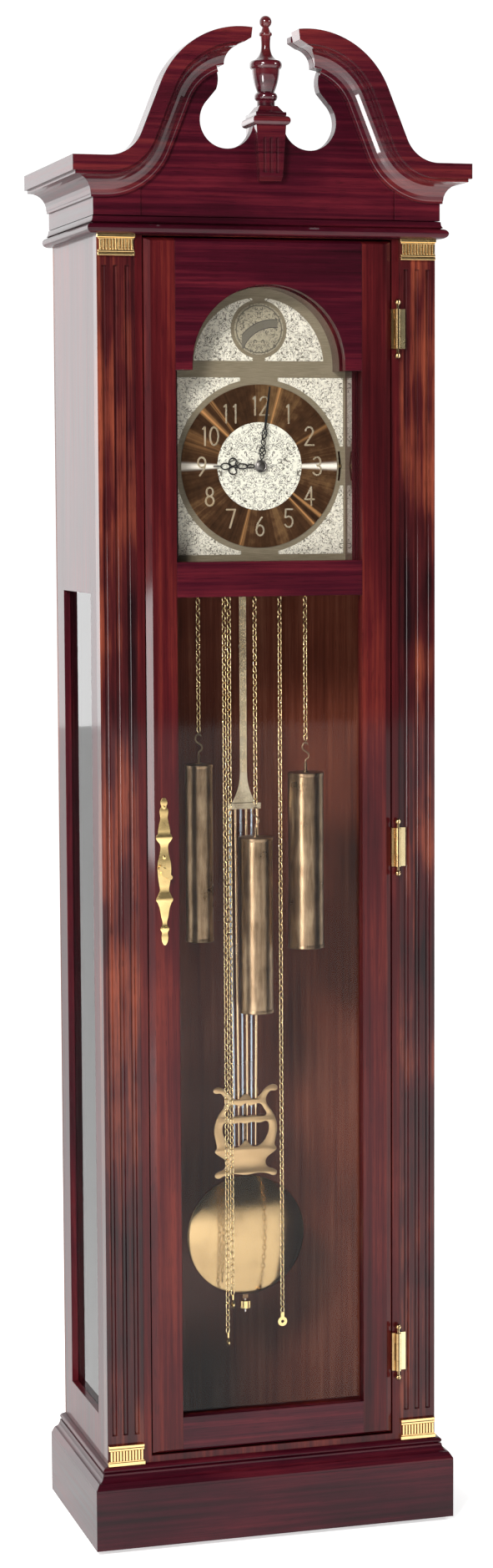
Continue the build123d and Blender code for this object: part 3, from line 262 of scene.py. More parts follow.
def mahogany(name, standing, dark, mid, light, streak=0.5, blotch=0.35, gloss=0.42, lacquer=1.5):
    """Wood in three tones, its grain standing or lying; streak and blotch weigh its figure."""
    wood = Finish(name, Coat_Weight=gloss, Coat_IOR=lacquer, Coat_Roughness=0.05, Specular_IOR_Level=0.08)
    x, y, z = wood.axes(wood.place())
    along, across = (z, x + y) if standing else (x + y, z)

    def grain(lengthwise, crosswise, layer, **look):
        """Noise with so many features in a metre along the grain and across it."""
        return wood.noise(wood.join(along * lengthwise, across * crosswise, layer), 1.0, **look)

    figure = grain(1.3, 16.0, 0.0, detail=4.0, roughness=0.55, distortion=0.6)
    stripes = grain(3.0, 150.0, 3.0, detail=3.0, roughness=0.6)
    pores = grain(40.0, 1400.0, 7.0, detail=1.0)
    cloud = grain(5.0, 11.0, 5.0, detail=3.0)
    balance = 0.5 * streak + 0.5 * blotch - 0.25
    tone = figure * 0.5 + stripes * streak + cloud * blotch - balance
    colour = wood.colours(tone, [(0.33, dark), (0.66, light), (0.50, mid)])
    pore_mask = pores.ramp(0.42, 0.34)
    wood.set(Base_Color=wood.mix(pore_mask * 0.5, colour, (*dark, 1)))
    wood.set(Roughness=0.32 + stripes * 0.14)
    rounded = wood.add("Bevel", {"samples": 4}, Radius=0.0015)
    wood.set(Normal=wood.add("Bump", Height=pores * 0.4 + stripes, Distance=0.0003, Strength=0.25,
                             Normal=rounded))
    return wood


maroon = mahogany("mahogany_rails", False, (0.010, 0.0006, 0.0022), (0.034, 0.0016, 0.0062),
                  (0.085, 0.0065, 0.0120))
maroon_up = mahogany("mahogany_boards", True, (0.016, 0.0010, 0.0028), (0.046, 0.0026, 0.0068),
                     (0.100, 0.0090, 0.0120))
russet = mahogany("mahogany_stiles", True, (0.018, 0.0010, 0.0020), (0.054, 0.0038, 0.0052),
                  (0.118, 0.0150, 0.0100))
striped = mahogany("mahogany_pilasters", True, (0.008, 0.0008, 0.0018), (0.045, 0.0050, 0.0060),
                   (0.190, 0.0400, 0.0200), blotch=0.7, gloss=0.6)
brown = mahogany("mahogany_back", True, (0.070, 0.0150, 0.0085), (0.145, 0.0370, 0.0200),
                 (0.230, 0.076, 0.042), gloss=0.1)
carved = mahogany("mahogany_mouldings", False, (0.014, 0.0010, 0.0026), (0.048, 0.0028, 0.0078),
                  (0.110, 0.0120, 0.0130), gloss=1.0, lacquer=1.6)
reveal = mahogany("mahogany_reveal", True, (0.020, 0.0014, 0.0030), (0.060, 0.0050, 0.0080),
                  (0.130, 0.0160, 0.0140), gloss=1.0, lacquer=2.4)
dress(reveal, "dial_surround")
dress(maroon, "plinth_frame", "base_moulding", "necking_moulding", "frieze_boards", "cornice_returns",
      "pediment_board", "door_rails", "seat_board")
dress(carved, "swan_necks", "keystone", "finial_base", "finial")
dress(maroon_up, "side_frame_left", "side_frame_right", "case_boards")
dress(russet, "door_stiles", "door_glass_beads", "face_frame")
dress(striped, "pilasters")
dress(brown, "back_panel")

# ---------------------------------------------------------------- clear glass
# Float glass, cut to size and held by beads in the door and in the frames of the two sides.  It
# is see-through, with a faint dust and a clear gloss that grows with its density.
dust_veil = 0.004


def glazing(name, density):
    """Clear glass: a gloss over nothing, mixed by how squarely it is seen."""
    glass = Finish(name)
    clear = glass.tree.nodes.new("ShaderNodeBsdfTransparent")
    gloss = glass.tree.nodes.new("ShaderNodeBsdfGlossy")
    gloss.inputs["Roughness"].default_value = 0.03
    blend = glass.tree.nodes.new("ShaderNodeMixShader")
    dust = glass.noise(glass.place(), scale=9.0, detail=5.0)
    edge = glass.add("Fresnel", IOR=density)
    plug(glass.tree, blend.inputs[0], edge + dust * dust_veil)
    glass.tree.links.new(clear.outputs[0], blend.inputs[1])
    glass.tree.links.new(gloss.outputs[0], blend.inputs[2])
    glass.tree.links.new(blend.outputs[0], glass.tree.nodes["Material Output"].inputs["Surface"])
    return glass


dress(glazing("door_glass", 1.22), "door_glass_lower", "door_glass_upper")
dress(glazing("side_glass", 1.8), "side_glass")

# ---------------------------------------------------------------- brass fittings
# The movement's plates and wheels, the chain tags and the small levers are sawn or turned brass,
# polished and lacquered, with faint brush hairs and a little brown tarnish in patches.
def brass(name, pale, deep, rough=0.18, tarnish=0.3):
    """Metal that goes from pale to deep in its tarnished patches."""
    metal = Finish(name, Metallic=1.0)
    patches = metal.noise(metal.place(), scale=14.0, detail=5.0, roughness=0.6)
    hairs = metal.noise(metal.place(), scale=220.0, detail=2.0)
    worn = patches.ramp(0.42, 0.72)
    metal.set(Base_Color=metal.mix(worn * tarnish, pale, deep))
    metal.set(Roughness=rough + worn * 0.12 + hairs * 0.06)
    metal.bump(hairs, depth=0.00006, strength=0.3)
    return metal


gold = brass("polished_brass", (0.88, 0.64, 0.28, 1), (0.42, 0.25, 0.09, 1))
dress(gold, "latch_lever",
      "chain_tag_left", "chain_tag_centre", "chain_tag_right", "rating_nut", "sprocket_left",
      "sprocket_centre", "sprocket_right", "movement_frame", "centre_wheel", "escape_wheel",
      "silence_lever")

# ---------------------------------------------------------------- door hinges
# Three brass butt hinges down the door's right edge: a bright ball-tipped knuckle beside
# dull leaves, with a dark joint between.
barrel_width, joint_half, joint_shift = 0.0040, 0.0008, 0.0003
barrel_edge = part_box("hinge_door_leaves")[1].x - barrel_width
hinge_brass = Finish("hinge_brass", Metallic=1.0)
x = hinge_brass.axes(hinge_brass.place(shift=(-barrel_edge, 0, 0)))[0]
spots = hinge_brass.noise(hinge_brass.place(), scale=90.0, detail=3.0)
leaf = hinge_brass.mix(spots, (0.62, 0.42, 0.19, 1), (0.26, 0.15, 0.07, 1))
barrel = hinge_brass.mix(spots * 0.5, (1.0, 0.84, 0.50, 1), (0.70, 0.48, 0.20, 1))
joint = abs(x + joint_shift) < joint_half
leaf_and_barrel = hinge_brass.mix(x > 0, leaf, barrel)
hinge_brass.set(Base_Color=hinge_brass.mix(joint * 0.9, leaf_and_barrel, (0.03, 0.012, 0.008, 1)))
hinge_brass.set(Roughness=0.2 + spots * 0.12)
dress(hinge_brass, "hinge_case_leaves", "hinge_door_leaves")

# ---------------------------------------------------------------- pilaster capitals
# Pressed brass caps at both ends of each pilaster: a fluted neck between a broad abacus and
# a doubled band, wrapped round the front and the sides.  The recesses behind the flutes and in the doubled
# band are painted dark as shade.  The lower pair stands upside down.
cap_low, cap_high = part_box("brass_capitals")
cap_gold = brass("capital_brass", (1.0, 0.70, 0.32, 1), (0.55, 0.33, 0.12, 1), rough=0.2)
# Painted shade: a dark brass standing in for the shadow in the recessed back of the neck and in the groove of
# the doubled band.
painted_shade_brass = brass("capital_shadow", (0.16, 0.085, 0.03, 1), (0.05, 0.028, 0.012, 1), rough=0.4, tarnish=0.6)
cap_width, cap_edge, bars, bar_half = 0.0500, 0.0005, 11, 0.30
cap_layers = (  # start and end from the top face, inset, finish
    (0.0000, 0.0048, 0.0000, cap_gold), (0.0046, 0.0066, 0.0012, cap_gold),
    (0.0064, 0.0206, 0.0030, painted_shade_brass), (0.0204, 0.0232, 0.0010, cap_gold),
    (0.0230, 0.0240, 0.0024, painted_shade_brass), (0.0238, 0.0276, 0.0008, cap_gold))
neck_start, neck_end = cap_layers[2][:2]
bar_front, bar_back, bar_margin = 0.0008, 0.0045, 0.002


def clear_selection():
    """Leaves edit mode with nothing selected, as every new piece wants it."""
    if bpy.context.mode != "OBJECT":
        bpy.ops.object.mode_set(mode="OBJECT")
    bpy.ops.object.select_all(action="DESELECT")


def join_all(pieces):
    """Joins shaped parts into the first one."""
    clear_selection()
    for piece in pieces:
        piece.select_set(True)
    bpy.context.view_layer.objects.active = pieces[0]
    bpy.ops.object.join()
    return bpy.context.object


def soft_block(low, high, bevel, finish):
    """A block with rounded edges between two corners."""
    clear_selection()
    low, high = Vector(low), Vector(high)
    bpy.ops.mesh.primitive_cube_add(size=1, location=(low + high) / 2)
    block = bpy.context.object
    block.scale = high - low
    bpy.ops.object.transform_apply(location=True, rotation=False, scale=True)
    bpy.ops.object.mode_set(mode="EDIT")
    bpy.ops.mesh.bevel(offset=bevel, segments=2)
    bpy.ops.object.mode_set(mode="OBJECT")
    block.data.materials.append(finish.material)
    return block


def capital(left, right, back, top, up):
    """One cap, built down from the abacus when up is -1 and up from it when up is 1."""
    front = cap_low.y
    parts = []
    for start, end, inset, finish in cap_layers:
        under, over = sorted((top + up * start, top + up * end))
        parts.append(soft_block((left + inset, front + inset, under), (right - inset, back, over), cap_edge,
                                finish))
    pitch = (right - left - 2 * bar_margin) / bars
    under, over = sorted((top + up * neck_start, top + up * neck_end))
    for bar in range(bars):
        x = left + bar_margin + pitch * (bar + 0.5)
        parts.append(soft_block((x - pitch * bar_half, front + bar_front, under),
                                (x + pitch * bar_half, front + bar_back, over), cap_edge, cap_gold))
    return parts


cap_parts = []
for left in (cap_low.x, cap_high.x - cap_width):
    for top, up in ((cap_high.z, -1), (cap_low.z, 1)):
        cap_parts += capital(left, left + cap_width, cap_high.y, top, up)
capitals = join_all(cap_parts)
capitals.name = "fluted_capitals"
capitals.data.name = "fluted_capitals"
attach(capitals, "case")
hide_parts("brass_capitals")

# ---------------------------------------------------------------- steel, enamel and feet
# Chime rods, hammers and the anchor are steel, drawn or filed and left bright.  The levelling
# feet under the plinth and the hands on the dial are coated with black enamel.
steel = brass("drawn_steel", (0.60, 0.60, 0.60, 1), (0.35, 0.34, 0.33, 1), rough=0.25)
dress(steel, "chime_rods", "anchor_crutch", "chime_hammers")
black = Finish("black_enamel", Specular_IOR_Level=0.2)
fleck = black.noise(black.place(), scale=300.0, detail=3.0)
black.set(Base_Color=black.colours(fleck, [(0.3, (0.010, 0.009, 0.009)), (0.7, (0.022, 0.020, 0.019))]))
black.set(Roughness=0.3 + fleck * 0.15)
dress(black, "levelling_feet")

# ---------------------------------------------------------------- arched dial
# One sheet of champagne-coloured metal with etched scroll panels in its corners and its arch,
# left plain between them.  The sheet shows in the door's arched opening.
dial_low, dial_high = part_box("chapter_ring")
dial_z = (dial_low.z + dial_high.z) / 2
ring_radius = (dial_high.x - dial_low.x) / 2
arch_rise, disc_rise, arch_foot = 0.1315, 0.180, 0.13
corner_reach, cross_half, sheet_half = 0.1150, 0.026, 0.1165
arch_reach, panel_foot, disc_margin, arch_gap = 0.0895, 0.1385, 0.0385, 0.0085


def scrolls(metal, x, z, size, fill):
    """1 on the cut lines of curling scrollwork, 0 on the ground between them."""
    curls = metal.noise(metal.join(x, 0.0, z), size, detail=1.0, distortion=2.0)
    groups = metal.noise(metal.join(x, 1.0, z), size * 0.3, detail=1.0)
    line = 1 - abs(curls - 0.5).ramp(0.016, 0.042)
    blots = curls.ramp(0.63, 0.65)
    return line.math("MAXIMUM", blots) * groups.ramp(0.62 - fill * 0.4, 0.70 - fill * 0.4)


def silver_sheet(name):
    """A silvered finish, the distance from the dial's middle line and the height over its centre."""
    sheet = Finish(name, Metallic=0.08, Specular_IOR_Level=0.7)
    x, y, z = sheet.axes(sheet.place(shift=(0, 0, -dial_z)))
    return sheet, abs(x), z


dial_face, across, up = silver_sheet("etched_dial")
radius = (across * across + up * up).math("SQRT")
arch_up = up - arch_rise
from_arch = (across * across + arch_up * arch_up).math("SQRT")
disc_up = up - disc_rise
from_disc = (across * across + disc_up * disc_up).math("SQRT")
corner = (radius > corner_reach) * (across.math("MINIMUM", abs(up)) > cross_half)
corner = corner * (across.math("MAXIMUM", abs(up)) < sheet_half)
in_arch = (from_arch < arch_reach) * (up > panel_foot) * (from_disc > disc_margin) * (across > arch_gap)
panel = corner.math("MAXIMUM", in_arch)
folded_up = abs(up - arch_foot) * (up > arch_foot) + abs(up) * (up < arch_foot)
cut = scrolls(dial_face, across, folded_up, size=140.0, fill=0.8)
brush = dial_face.noise(dial_face.place(stretch=(1, 1, 30)), scale=60.0, detail=2.0)
plain = dial_face.colours(brush, [(0.35, (0.16, 0.130, 0.080)), (0.65, (0.23, 0.190, 0.125))])
ground = dial_face.colours(brush, [(0.3, (0.68, 0.64, 0.52)), (0.7, (0.80, 0.76, 0.64))])
etched = dial_face.mix(cut * 0.9, ground, (0.075, 0.060, 0.038, 1))
dial_face.set(Base_Color=dial_face.mix(panel, plain, etched))
dial_face.set(Roughness=0.34 + panel * 0.14)
dial_face.bump(panel * (1 - cut), depth=0.0002, strength=0.6)
dress(dial_face, "dial_plate")

# ---------------------------------------------------------------- silvered discs
# The dial's middle and the round plate in its arch are bright silvered discs with engraved
# scrolls; a curved ribbon, left without lettering, crosses the upper one.
upper_foot = 0.12
rim_radius, rim_half = 0.0310, 0.0007
ribbon_right, ribbon_down, ribbon_radius = 0.020, 0.043, 0.0505
ribbon_mid, ribbon_length_half, ribbon_half, border_half = 0.001, 0.0245, 0.0048, 0.0058

disc_face, across, up = silver_sheet("engraved_discs")
cut = scrolls(disc_face, across, up, size=115.0, fill=0.8)
side = disc_face.axes(disc_face.place())[0]
disc_up = up - disc_rise
upper = up > upper_foot
ribbon_x, ribbon_z = side - ribbon_right, disc_up + ribbon_down
ribbon = abs((ribbon_x * ribbon_x + ribbon_z * ribbon_z).math("SQRT") - ribbon_radius)
ribbon_on = upper * (abs(side - ribbon_mid) < ribbon_length_half)
ribbon_fill, ribbon_edge = (ribbon < ribbon_half) * ribbon_on, (ribbon < border_half) * ribbon_on
rim_reach = (across * across + disc_up * disc_up).math("SQRT")
rim = (abs(rim_reach - rim_radius) < rim_half) * upper
brush = disc_face.noise(disc_face.place(stretch=(1, 1, 20)), scale=60.0, detail=2.0)
ground = disc_face.mix(upper, (0.84, 0.82, 0.70, 1), (0.33, 0.29, 0.20, 1))
ground = disc_face.mix(brush * 0.2, ground, (0.45, 0.41, 0.31, 1))
engraving = (cut * (1 - ribbon_edge)).math("MAXIMUM", rim)
marked = disc_face.mix(engraving * 0.9, ground, (0.07, 0.058, 0.040, 1))
banded = disc_face.mix(ribbon_edge, marked, (0.05, 0.045, 0.035, 1))
disc_face.set(Base_Color=disc_face.mix(ribbon_fill, banded, (0.13, 0.115, 0.085, 1)))
disc_face.set(Roughness=0.30 + cut * 0.2)
disc_face.bump(1 - cut, depth=0.0002, strength=0.5)
dress(disc_face, "dial_discs")

# ---------------------------------------------------------------- chapter ring
# A ring of spun bronze, lacquered brown, with its fine turning marks bumped in.  The rays of light that run
# out from the centre, and a white glint at three and nine o'clock, are painted highlights in its colour.
# Painted highlights: one painted ray of light for each bearing in this table.
painted_glint_table = (  # bearing in degrees, width, strength
    (137, 0.060, 1.0), (128, 0.040, 0.8), (74, 0.050, 0.9), (30, 0.050, 0.5),
    (-38, 0.040, 0.8), (-46, 0.050, 0.9), (-104, 0.045, 0.8), (160, 0.2, 0.25))
grooves_per_metre, groove_depth = 9000.0, 0.00002

bronze = Finish("spun_bronze")
x, y, z = bronze.axes(bronze.place(shift=(0, 0, -dial_z)))
reach = (x * x + z * z).math("SQRT")
ray_x, ray_z = x / reach, z / reach
# Painted streaks and a painted broad sheen: noise that changes only with the bearing round the centre.
painted_ray_noise = bronze.noise(bronze.join(ray_x, 0.0, ray_z), scale=26.0, detail=4.0, roughness=0.7)
painted_sheen_noise = bronze.noise(bronze.join(ray_x, 2.0, ray_z), scale=2.2, detail=1.0)
mottle = bronze.noise(bronze.place(), scale=90.0, detail=4.0, roughness=0.6)
# Painted rays of light along the bearings in the table.
painted_spokes = 0.0
for bearing, width, strength in painted_glint_table:
    turn = math.radians(bearing)
    toward = ray_x * math.cos(turn) + ray_z * math.sin(turn)
    off = abs(ray_x * math.sin(turn) - ray_z * math.cos(turn))
    painted_spokes = (1 - off.ramp(0.0, width)) * (toward > 0) * strength + painted_spokes
# A painted white glint across the ring at three and nine o'clock, made less metallic and smoother there.
painted_white_glint = 1 - abs(ray_z).ramp(0.01, 0.075)
# The colour mixes real mottle with the painted sheen and streaks, from dark bronze up to a painted orange
# highlight.
tone = painted_sheen_noise * 0.5 + mottle * 0.35 + painted_ray_noise * 0.35
base = bronze.colours(tone, [(0.40, (0.035, 0.015, 0.008)), (0.80, (0.36, 0.20, 0.085)),
                             (0.62, (0.120, 0.055, 0.024))])
painted_rays_colour = bronze.mix(painted_spokes.math("MINIMUM", 1.0) * painted_ray_noise.ramp(0.30, 0.60), base, (0.95, 0.48, 0.18, 1))
bronze.set(Base_Color=bronze.mix(painted_white_glint * 0.9, painted_rays_colour, (1.0, 0.93, 0.80, 1)))
bronze.set(Roughness=0.36 - painted_white_glint * 0.1)
bronze.set(Metallic=0.85 - painted_white_glint * 0.75)
grooves = (reach * grooves_per_metre).sine()
bronze.bump(grooves, groove_depth, strength=0.4)
dress(bronze, "chapter_ring")

# ---------------------------------------------------------------- hour figures
# Twelve raised Arabic figures of polished brass, each cut out of sheet and set upright on the
# chapter ring.  Their sides are painted bright as a highlight and their faces are a little duller.
figure_brass_painted_edges = brass("figure_brass_painted_edges", (0.95, 0.80, 0.50, 1), (0.60, 0.42, 0.20, 1), rough=0.22)
# Painted highlight: surfaces that do not face the front, the figures' sides, are painted near white; the
# front faces stay a duller brass, varied by wear.
outward = figure_brass_painted_edges.add("TexCoord", output="Normal")
facing_for_painted_glint = 0.0 - figure_brass_painted_edges.add("SeparateXYZ", output=1, Vector=outward)
worn = figure_brass_painted_edges.noise(figure_brass_painted_edges.place(), scale=60.0, detail=3.0)
face = facing_for_painted_glint.ramp(0.7, 0.98) * (1.3 - worn)
figure_brass_painted_edges.set(Base_Color=figure_brass_painted_edges.mix(face, (1.0, 0.95, 0.80, 1), (0.58, 0.45, 0.27, 1)))
figure_brass_painted_edges.set(Metallic=0.7)
dress(figure_brass_painted_edges, "numerals")

# ---------------------------------------------------------------- hands
# Two pierced hands of black steel: short curled loops near the boss, then a long thin blade
# on the minute hand and a three-lobed head on the hour hand.  A turned boss covers the arbor.
minute_lift, hour_lift, boss_lift = 0.0046, 0.0006, 0.0010
minute_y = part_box("minute_hand")[0].y + minute_lift
hour_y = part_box("hour_hand")[0].y + hour_lift
minute_reach, hour_reach = 0.98 * ring_radius, 0.6 * ring_radius
minute_turn, hour_turn = math.radians(-7), math.radians(90)
mm = 0.001
minute_wire, hour_wire, squeeze, blade_thick = 0.8 * mm, 0.85 * mm, 0.6, 0.8 * mm


def along_hand(points, turn):
    """(across, along) points of a hand turned from twelve o'clock, about the dial's centre."""
    return [(x * math.cos(turn) - z * math.sin(turn), x * math.sin(turn) + z * math.cos(turn))
            for x, z in points]


def oval(centre, wide, high, steps=8):
    """(across, along) points of a loop in a hand."""
    bearings = [2 * math.pi * i / steps for i in range(steps)]
    return [(wide * math.cos(bearing), centre + high * math.sin(bearing)) for bearing in bearings]


def bent_wire(strokes, radius, place=(0, 0, 0), flat=1.0, smooth=True, resolution=6):
    """Round wire along each stroke (points, closed), standing in the XZ plane; flat squeezes it in Y."""
    clear_selection()
    line = bpy.data.curves.new("wire", "CURVE")
    line.dimensions, line.bevel_depth, line.bevel_resolution = "3D", radius, 2
    line.resolution_u, line.use_fill_caps = resolution, True
    for points, closed in strokes:
        spline = line.splines.new("BEZIER" if smooth else "POLY")
        rail = spline.bezier_points if smooth else spline.points
        rail.add(len(points) - 1)
        for knot, (x, z) in zip(rail, points):
            if smooth:
                knot.co = (x, 0, z)
                knot.handle_left_type = knot.handle_right_type = "AUTO"
            else:
                knot.co = (x, 0, z, 1)
        spline.use_cyclic_u = closed
    piece = bpy.data.objects.new("wire", line)
    bpy.context.scene.collection.objects.link(piece)
    piece.location, piece.scale = place, (1, flat, 1)
    piece.select_set(True)
    bpy.context.view_layer.objects.active = piece
    bpy.ops.object.convert(target="MESH")
    piece = bpy.context.object
    bpy.ops.object.shade_smooth_by_angle(angle=math.radians(50))
    return piece


def sawn_sheet(outlines, thickness, place=(0, 0, 0), edge=0.0003, smooth=True, resolution=5):
    """A sheet sawn to outlines of (x, z) points, the first the edge and the rest holes, facing -Y."""
    clear_selection()
    line = bpy.data.curves.new("sheet", "CURVE")
    line.dimensions, line.fill_mode = "2D", "BOTH"
    line.extrude, line.bevel_depth, line.bevel_resolution = thickness / 2 - edge, edge, 1
    line.resolution_u = resolution
    for points in outlines:
        spline = line.splines.new("BEZIER" if smooth else "POLY")
        rail = spline.bezier_points if smooth else spline.points
        rail.add(len(points) - 1)
        for knot, (x, z) in zip(rail, points):
            if smooth:
                knot.co = (x, z, 0)
                knot.handle_left_type = knot.handle_right_type = "AUTO"
            else:
                knot.co = (x, z, 0, 1)
        spline.use_cyclic_u = True
    piece = bpy.data.objects.new("sheet", line)
    bpy.context.scene.collection.objects.link(piece)
    piece.location, piece.rotation_euler = place, (math.pi / 2, 0, 0)
    piece.select_set(True)
    bpy.context.view_layer.objects.active = piece
    bpy.ops.object.convert(target="MESH")
    piece = bpy.context.object
    bpy.ops.object.mode_set(mode="EDIT")
    bpy.ops.mesh.select_all(action="SELECT")
    bpy.ops.mesh.remove_doubles(threshold=0.00001)
    bpy.ops.mesh.normals_make_consistent(inside=False)
    bpy.ops.object.mode_set(mode="OBJECT")
    bpy.ops.object.shade_smooth_by_angle(angle=math.radians(35))
    return piece


def turned(profile, sides=48, place=(0, 0, 0), angle=35):
    """A lathe-turned solid: each (radius, height) is one more extruded and scaled ring."""
    clear_selection()
    radius, height = profile[0]
    bpy.ops.mesh.primitive_circle_add(vertices=sides, radius=radius, fill_type="NGON",
                                      location=(0, 0, height))
    piece = bpy.context.object
    bpy.ops.object.transform_apply(location=True, rotation=False, scale=False)
    bpy.ops.object.mode_set(mode="EDIT")
    bpy.ops.mesh.select_all(action="SELECT")
    for next_radius, next_height in profile[1:]:
        bpy.ops.mesh.extrude_region_move(TRANSFORM_OT_translate={"value": (0, 0, next_height - height)})
        scale = next_radius / radius
        bpy.ops.transform.resize(value=(scale, scale, 1), center_override=(0, 0, next_height))
        radius, height = next_radius, next_height
    bpy.ops.mesh.select_all(action="SELECT")
    bpy.ops.mesh.normals_make_consistent(inside=False)
    bpy.ops.object.mode_set(mode="OBJECT")
    bpy.ops.object.shade_smooth_by_angle(angle=math.radians(angle))
    piece.location = place
    return piece


def finish_piece(piece, name, finish, body, slot, *stands_for):
    """Names a shaped piece, sets its place into its mesh, and gives it its finish and its body."""
    clear_selection()
    piece.select_set(True)
    bpy.context.view_layer.objects.active = piece
    bpy.ops.object.transform_apply(location=True, rotation=True, scale=True)
    piece.name = name
    piece.data.name = name
    piece.data.materials.clear()
    piece.data.materials.append(finish.material)
    if body:
        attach(piece, body)
    if stands_for:
        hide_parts(*stands_for)


minute_strokes = [([(0, 8 * mm), (2.5 * mm, 14 * mm), (-3.4 * mm, 22 * mm), (3.0 * mm, 30 * mm),
                    (-2.6 * mm, 38 * mm), (1.5 * mm, 46 * mm), (0, 54 * mm)], False),
                  ([(0, 8 * mm), (-2.5 * mm, 14 * mm), (3.0 * mm, 24 * mm), (-3.2 * mm, 32 * mm),
                    (2.4 * mm, 40 * mm), (-1.2 * mm, 47 * mm), (0, 54 * mm)], False),
                  (oval(19 * mm, 4.2 * mm, 5 * mm), True), (oval(43 * mm, 3.2 * mm, 6 * mm), True)]
minute_curls = [(along_hand(points, minute_turn), closed) for points, closed in minute_strokes]
minute_parts = [bent_wire(minute_curls, minute_wire, (0, minute_y, dial_z), squeeze)]
blade = [(-1.2 * mm, 50 * mm), (-1.7 * mm, 62 * mm), (-0.9 * mm, minute_reach),
         (0.9 * mm, minute_reach), (1.7 * mm, 62 * mm), (1.2 * mm, 50 * mm)]
minute_parts.append(sawn_sheet([along_hand(blade, minute_turn)], blade_thick, (0, minute_y, dial_z),
                               edge=0.1 * mm, smooth=False))
finish_piece(join_all(minute_parts), "minute_hand_pierced", black, "minute_arbor", "black_steel",
             "minute_hand")

hour_strokes = [([(0, 8 * mm), (2.2 * mm, 13 * mm), (0, 18 * mm), (-2.2 * mm, 13 * mm)], True),
                ([(0, 18 * mm), (3.2 * mm, 24 * mm), (0, 31 * mm), (-3.2 * mm, 24 * mm)], True),
                ([(0, 31 * mm), (3.0 * mm, 34 * mm), (8.5 * mm, 33 * mm), (10.5 * mm, 39 * mm),
                  (6.0 * mm, 43 * mm), (1.0 * mm, 40 * mm)], True),
                ([(0, 31 * mm), (-3.0 * mm, 34 * mm), (-8.5 * mm, 33 * mm), (-10.5 * mm, 39 * mm),
                  (-6.0 * mm, 43 * mm), (-1.0 * mm, 40 * mm)], True),
                (oval(48 * mm, 4.0 * mm, 6.0 * mm), True),
                ([(0, 54 * mm), (0, hour_reach)], False)]
hour_curls = [(along_hand(points, hour_turn), closed) for points, closed in hour_strokes]
hour_part = bent_wire(hour_curls, hour_wire, (0, hour_y, dial_z), squeeze)
finish_piece(hour_part, "hour_hand_pierced", black, "hour_pipe", "black_steel", "hour_hand")

boss_grey = brass("boss_grey", (0.15, 0.14, 0.13, 1), (0.05, 0.05, 0.05, 1), rough=0.38, tarnish=0.5)
boss = turned([(7.6 * mm, 0), (8.2 * mm, 0.6 * mm), (8.2 * mm, 1.8 * mm), (7.2 * mm, 2.4 * mm),
               (6.4 * mm, 2.0 * mm), (5.6 * mm, 2.5 * mm), (3.4 * mm, 3.6 * mm), (2.2 * mm, 3.7 * mm),
               (1.9 * mm, 4.4 * mm), (0.4 * mm, 4.6 * mm)], sides=40)
boss.rotation_euler = (math.pi / 2, 0, 0)
boss.location = (0, minute_y + boss_lift, dial_z)
finish_piece(boss, "hand_boss", boss_grey, "minute_arbor", "black_steel")

# ---------------------------------------------------------------- weights
# Three brass shells with spun caps, a threaded stem with a nut, and an S-hook on the chain.
# The brass is aged: brown and grey clouds, rubbed along its length.
def shell_brass():
    """Brass rubbed lengthwise and clouded by age."""
    metal = Finish("aged_weight_brass", Metallic=1.0)
    x, y, z = metal.axes(metal.place())
    rubbed = metal.noise(metal.join(x * 60.0, y * 60.0, z * 9.0), scale=3.0, detail=5.0, roughness=0.65)
    clouds = metal.noise(metal.place(), scale=26.0, detail=4.0, roughness=0.6)
    colour = metal.colours(rubbed * 0.55 + clouds * 0.5, [(0.38, (0.13, 0.080, 0.040)),
                                                          (0.72, (0.52, 0.38, 0.23)),
                                                          (0.54, (0.29, 0.195, 0.115))])
    metal.set(Base_Color=colour)
    metal.set(Roughness=0.20 + clouds * 0.22)
    metal.bump(rubbed, depth=0.00015, strength=0.35)
    return metal


hook_rise, stem_rise, wall_step = 45 * mm, 13 * mm, 0.6 * mm
hook_wire, thread_pitch, thread_radii = 1.1 * mm, 0.9 * mm, [2.2 * mm, 1.8 * mm] * 6
aged = shell_brass()
drives = {"left": {}, "centre": {}, "right": {}}
for name, drive in drives.items():
    low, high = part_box("weight_" + name)
    centre, reach, top = (low + high) / 2, (high.x - low.x) / 2, high.z - hook_rise
    drive.update(x=centre.x, y=centre.y, hook_top=high.z)
    shell = reach - wall_step
    tall = top - low.z
    thread = [(r, tall + 2.2 * mm + i * thread_pitch) for i, r in enumerate(thread_radii)]
    profile = ([(shell * 0.5, 0.8 * mm), (shell * 0.86, 0.3 * mm), (reach - 0.7 * mm, 0), (reach, 0.8 * mm),
                (reach, 4.2 * mm), (reach - 0.2 * mm, 4.9 * mm), (shell, 5.1 * mm), (shell, tall * 0.5),
                (shell, tall - 5.1 * mm), (reach - 0.2 * mm, tall - 4.9 * mm), (reach, tall - 4.2 * mm),
                (reach, tall - 0.9 * mm), (reach - 0.8 * mm, tall), (shell * 0.8, tall - 0.5 * mm),
                (shell * 0.35, tall + 0.3 * mm), (4.4 * mm, tall + 0.4 * mm), (4.4 * mm, tall + 2.1 * mm)]
               + thread + [(1.0 * mm, tall + 13.4 * mm)])
    body = turned(profile, sides=56, place=(centre.x, centre.y, low.z), angle=40)
    stem_z = top + stem_rise
    s_hook = [(0, stem_z - 1 * mm), (0, stem_z + 3 * mm), (4.4 * mm, stem_z + 7 * mm),
              (3.6 * mm, stem_z + 12.5 * mm), (0, stem_z + 15 * mm), (-3.6 * mm, stem_z + 18 * mm),
              (-4.2 * mm, stem_z + 23.5 * mm), (0, stem_z + 27 * mm), (3.6 * mm, stem_z + 24.5 * mm)]
    hook = bent_wire([(s_hook, False)], hook_wire, (centre.x, centre.y, 0))
    finish_piece(join_all([body, hook]), "weight_shell_" + name, aged, "weight_" + name, "polished_brass",
                 "weight_" + name)

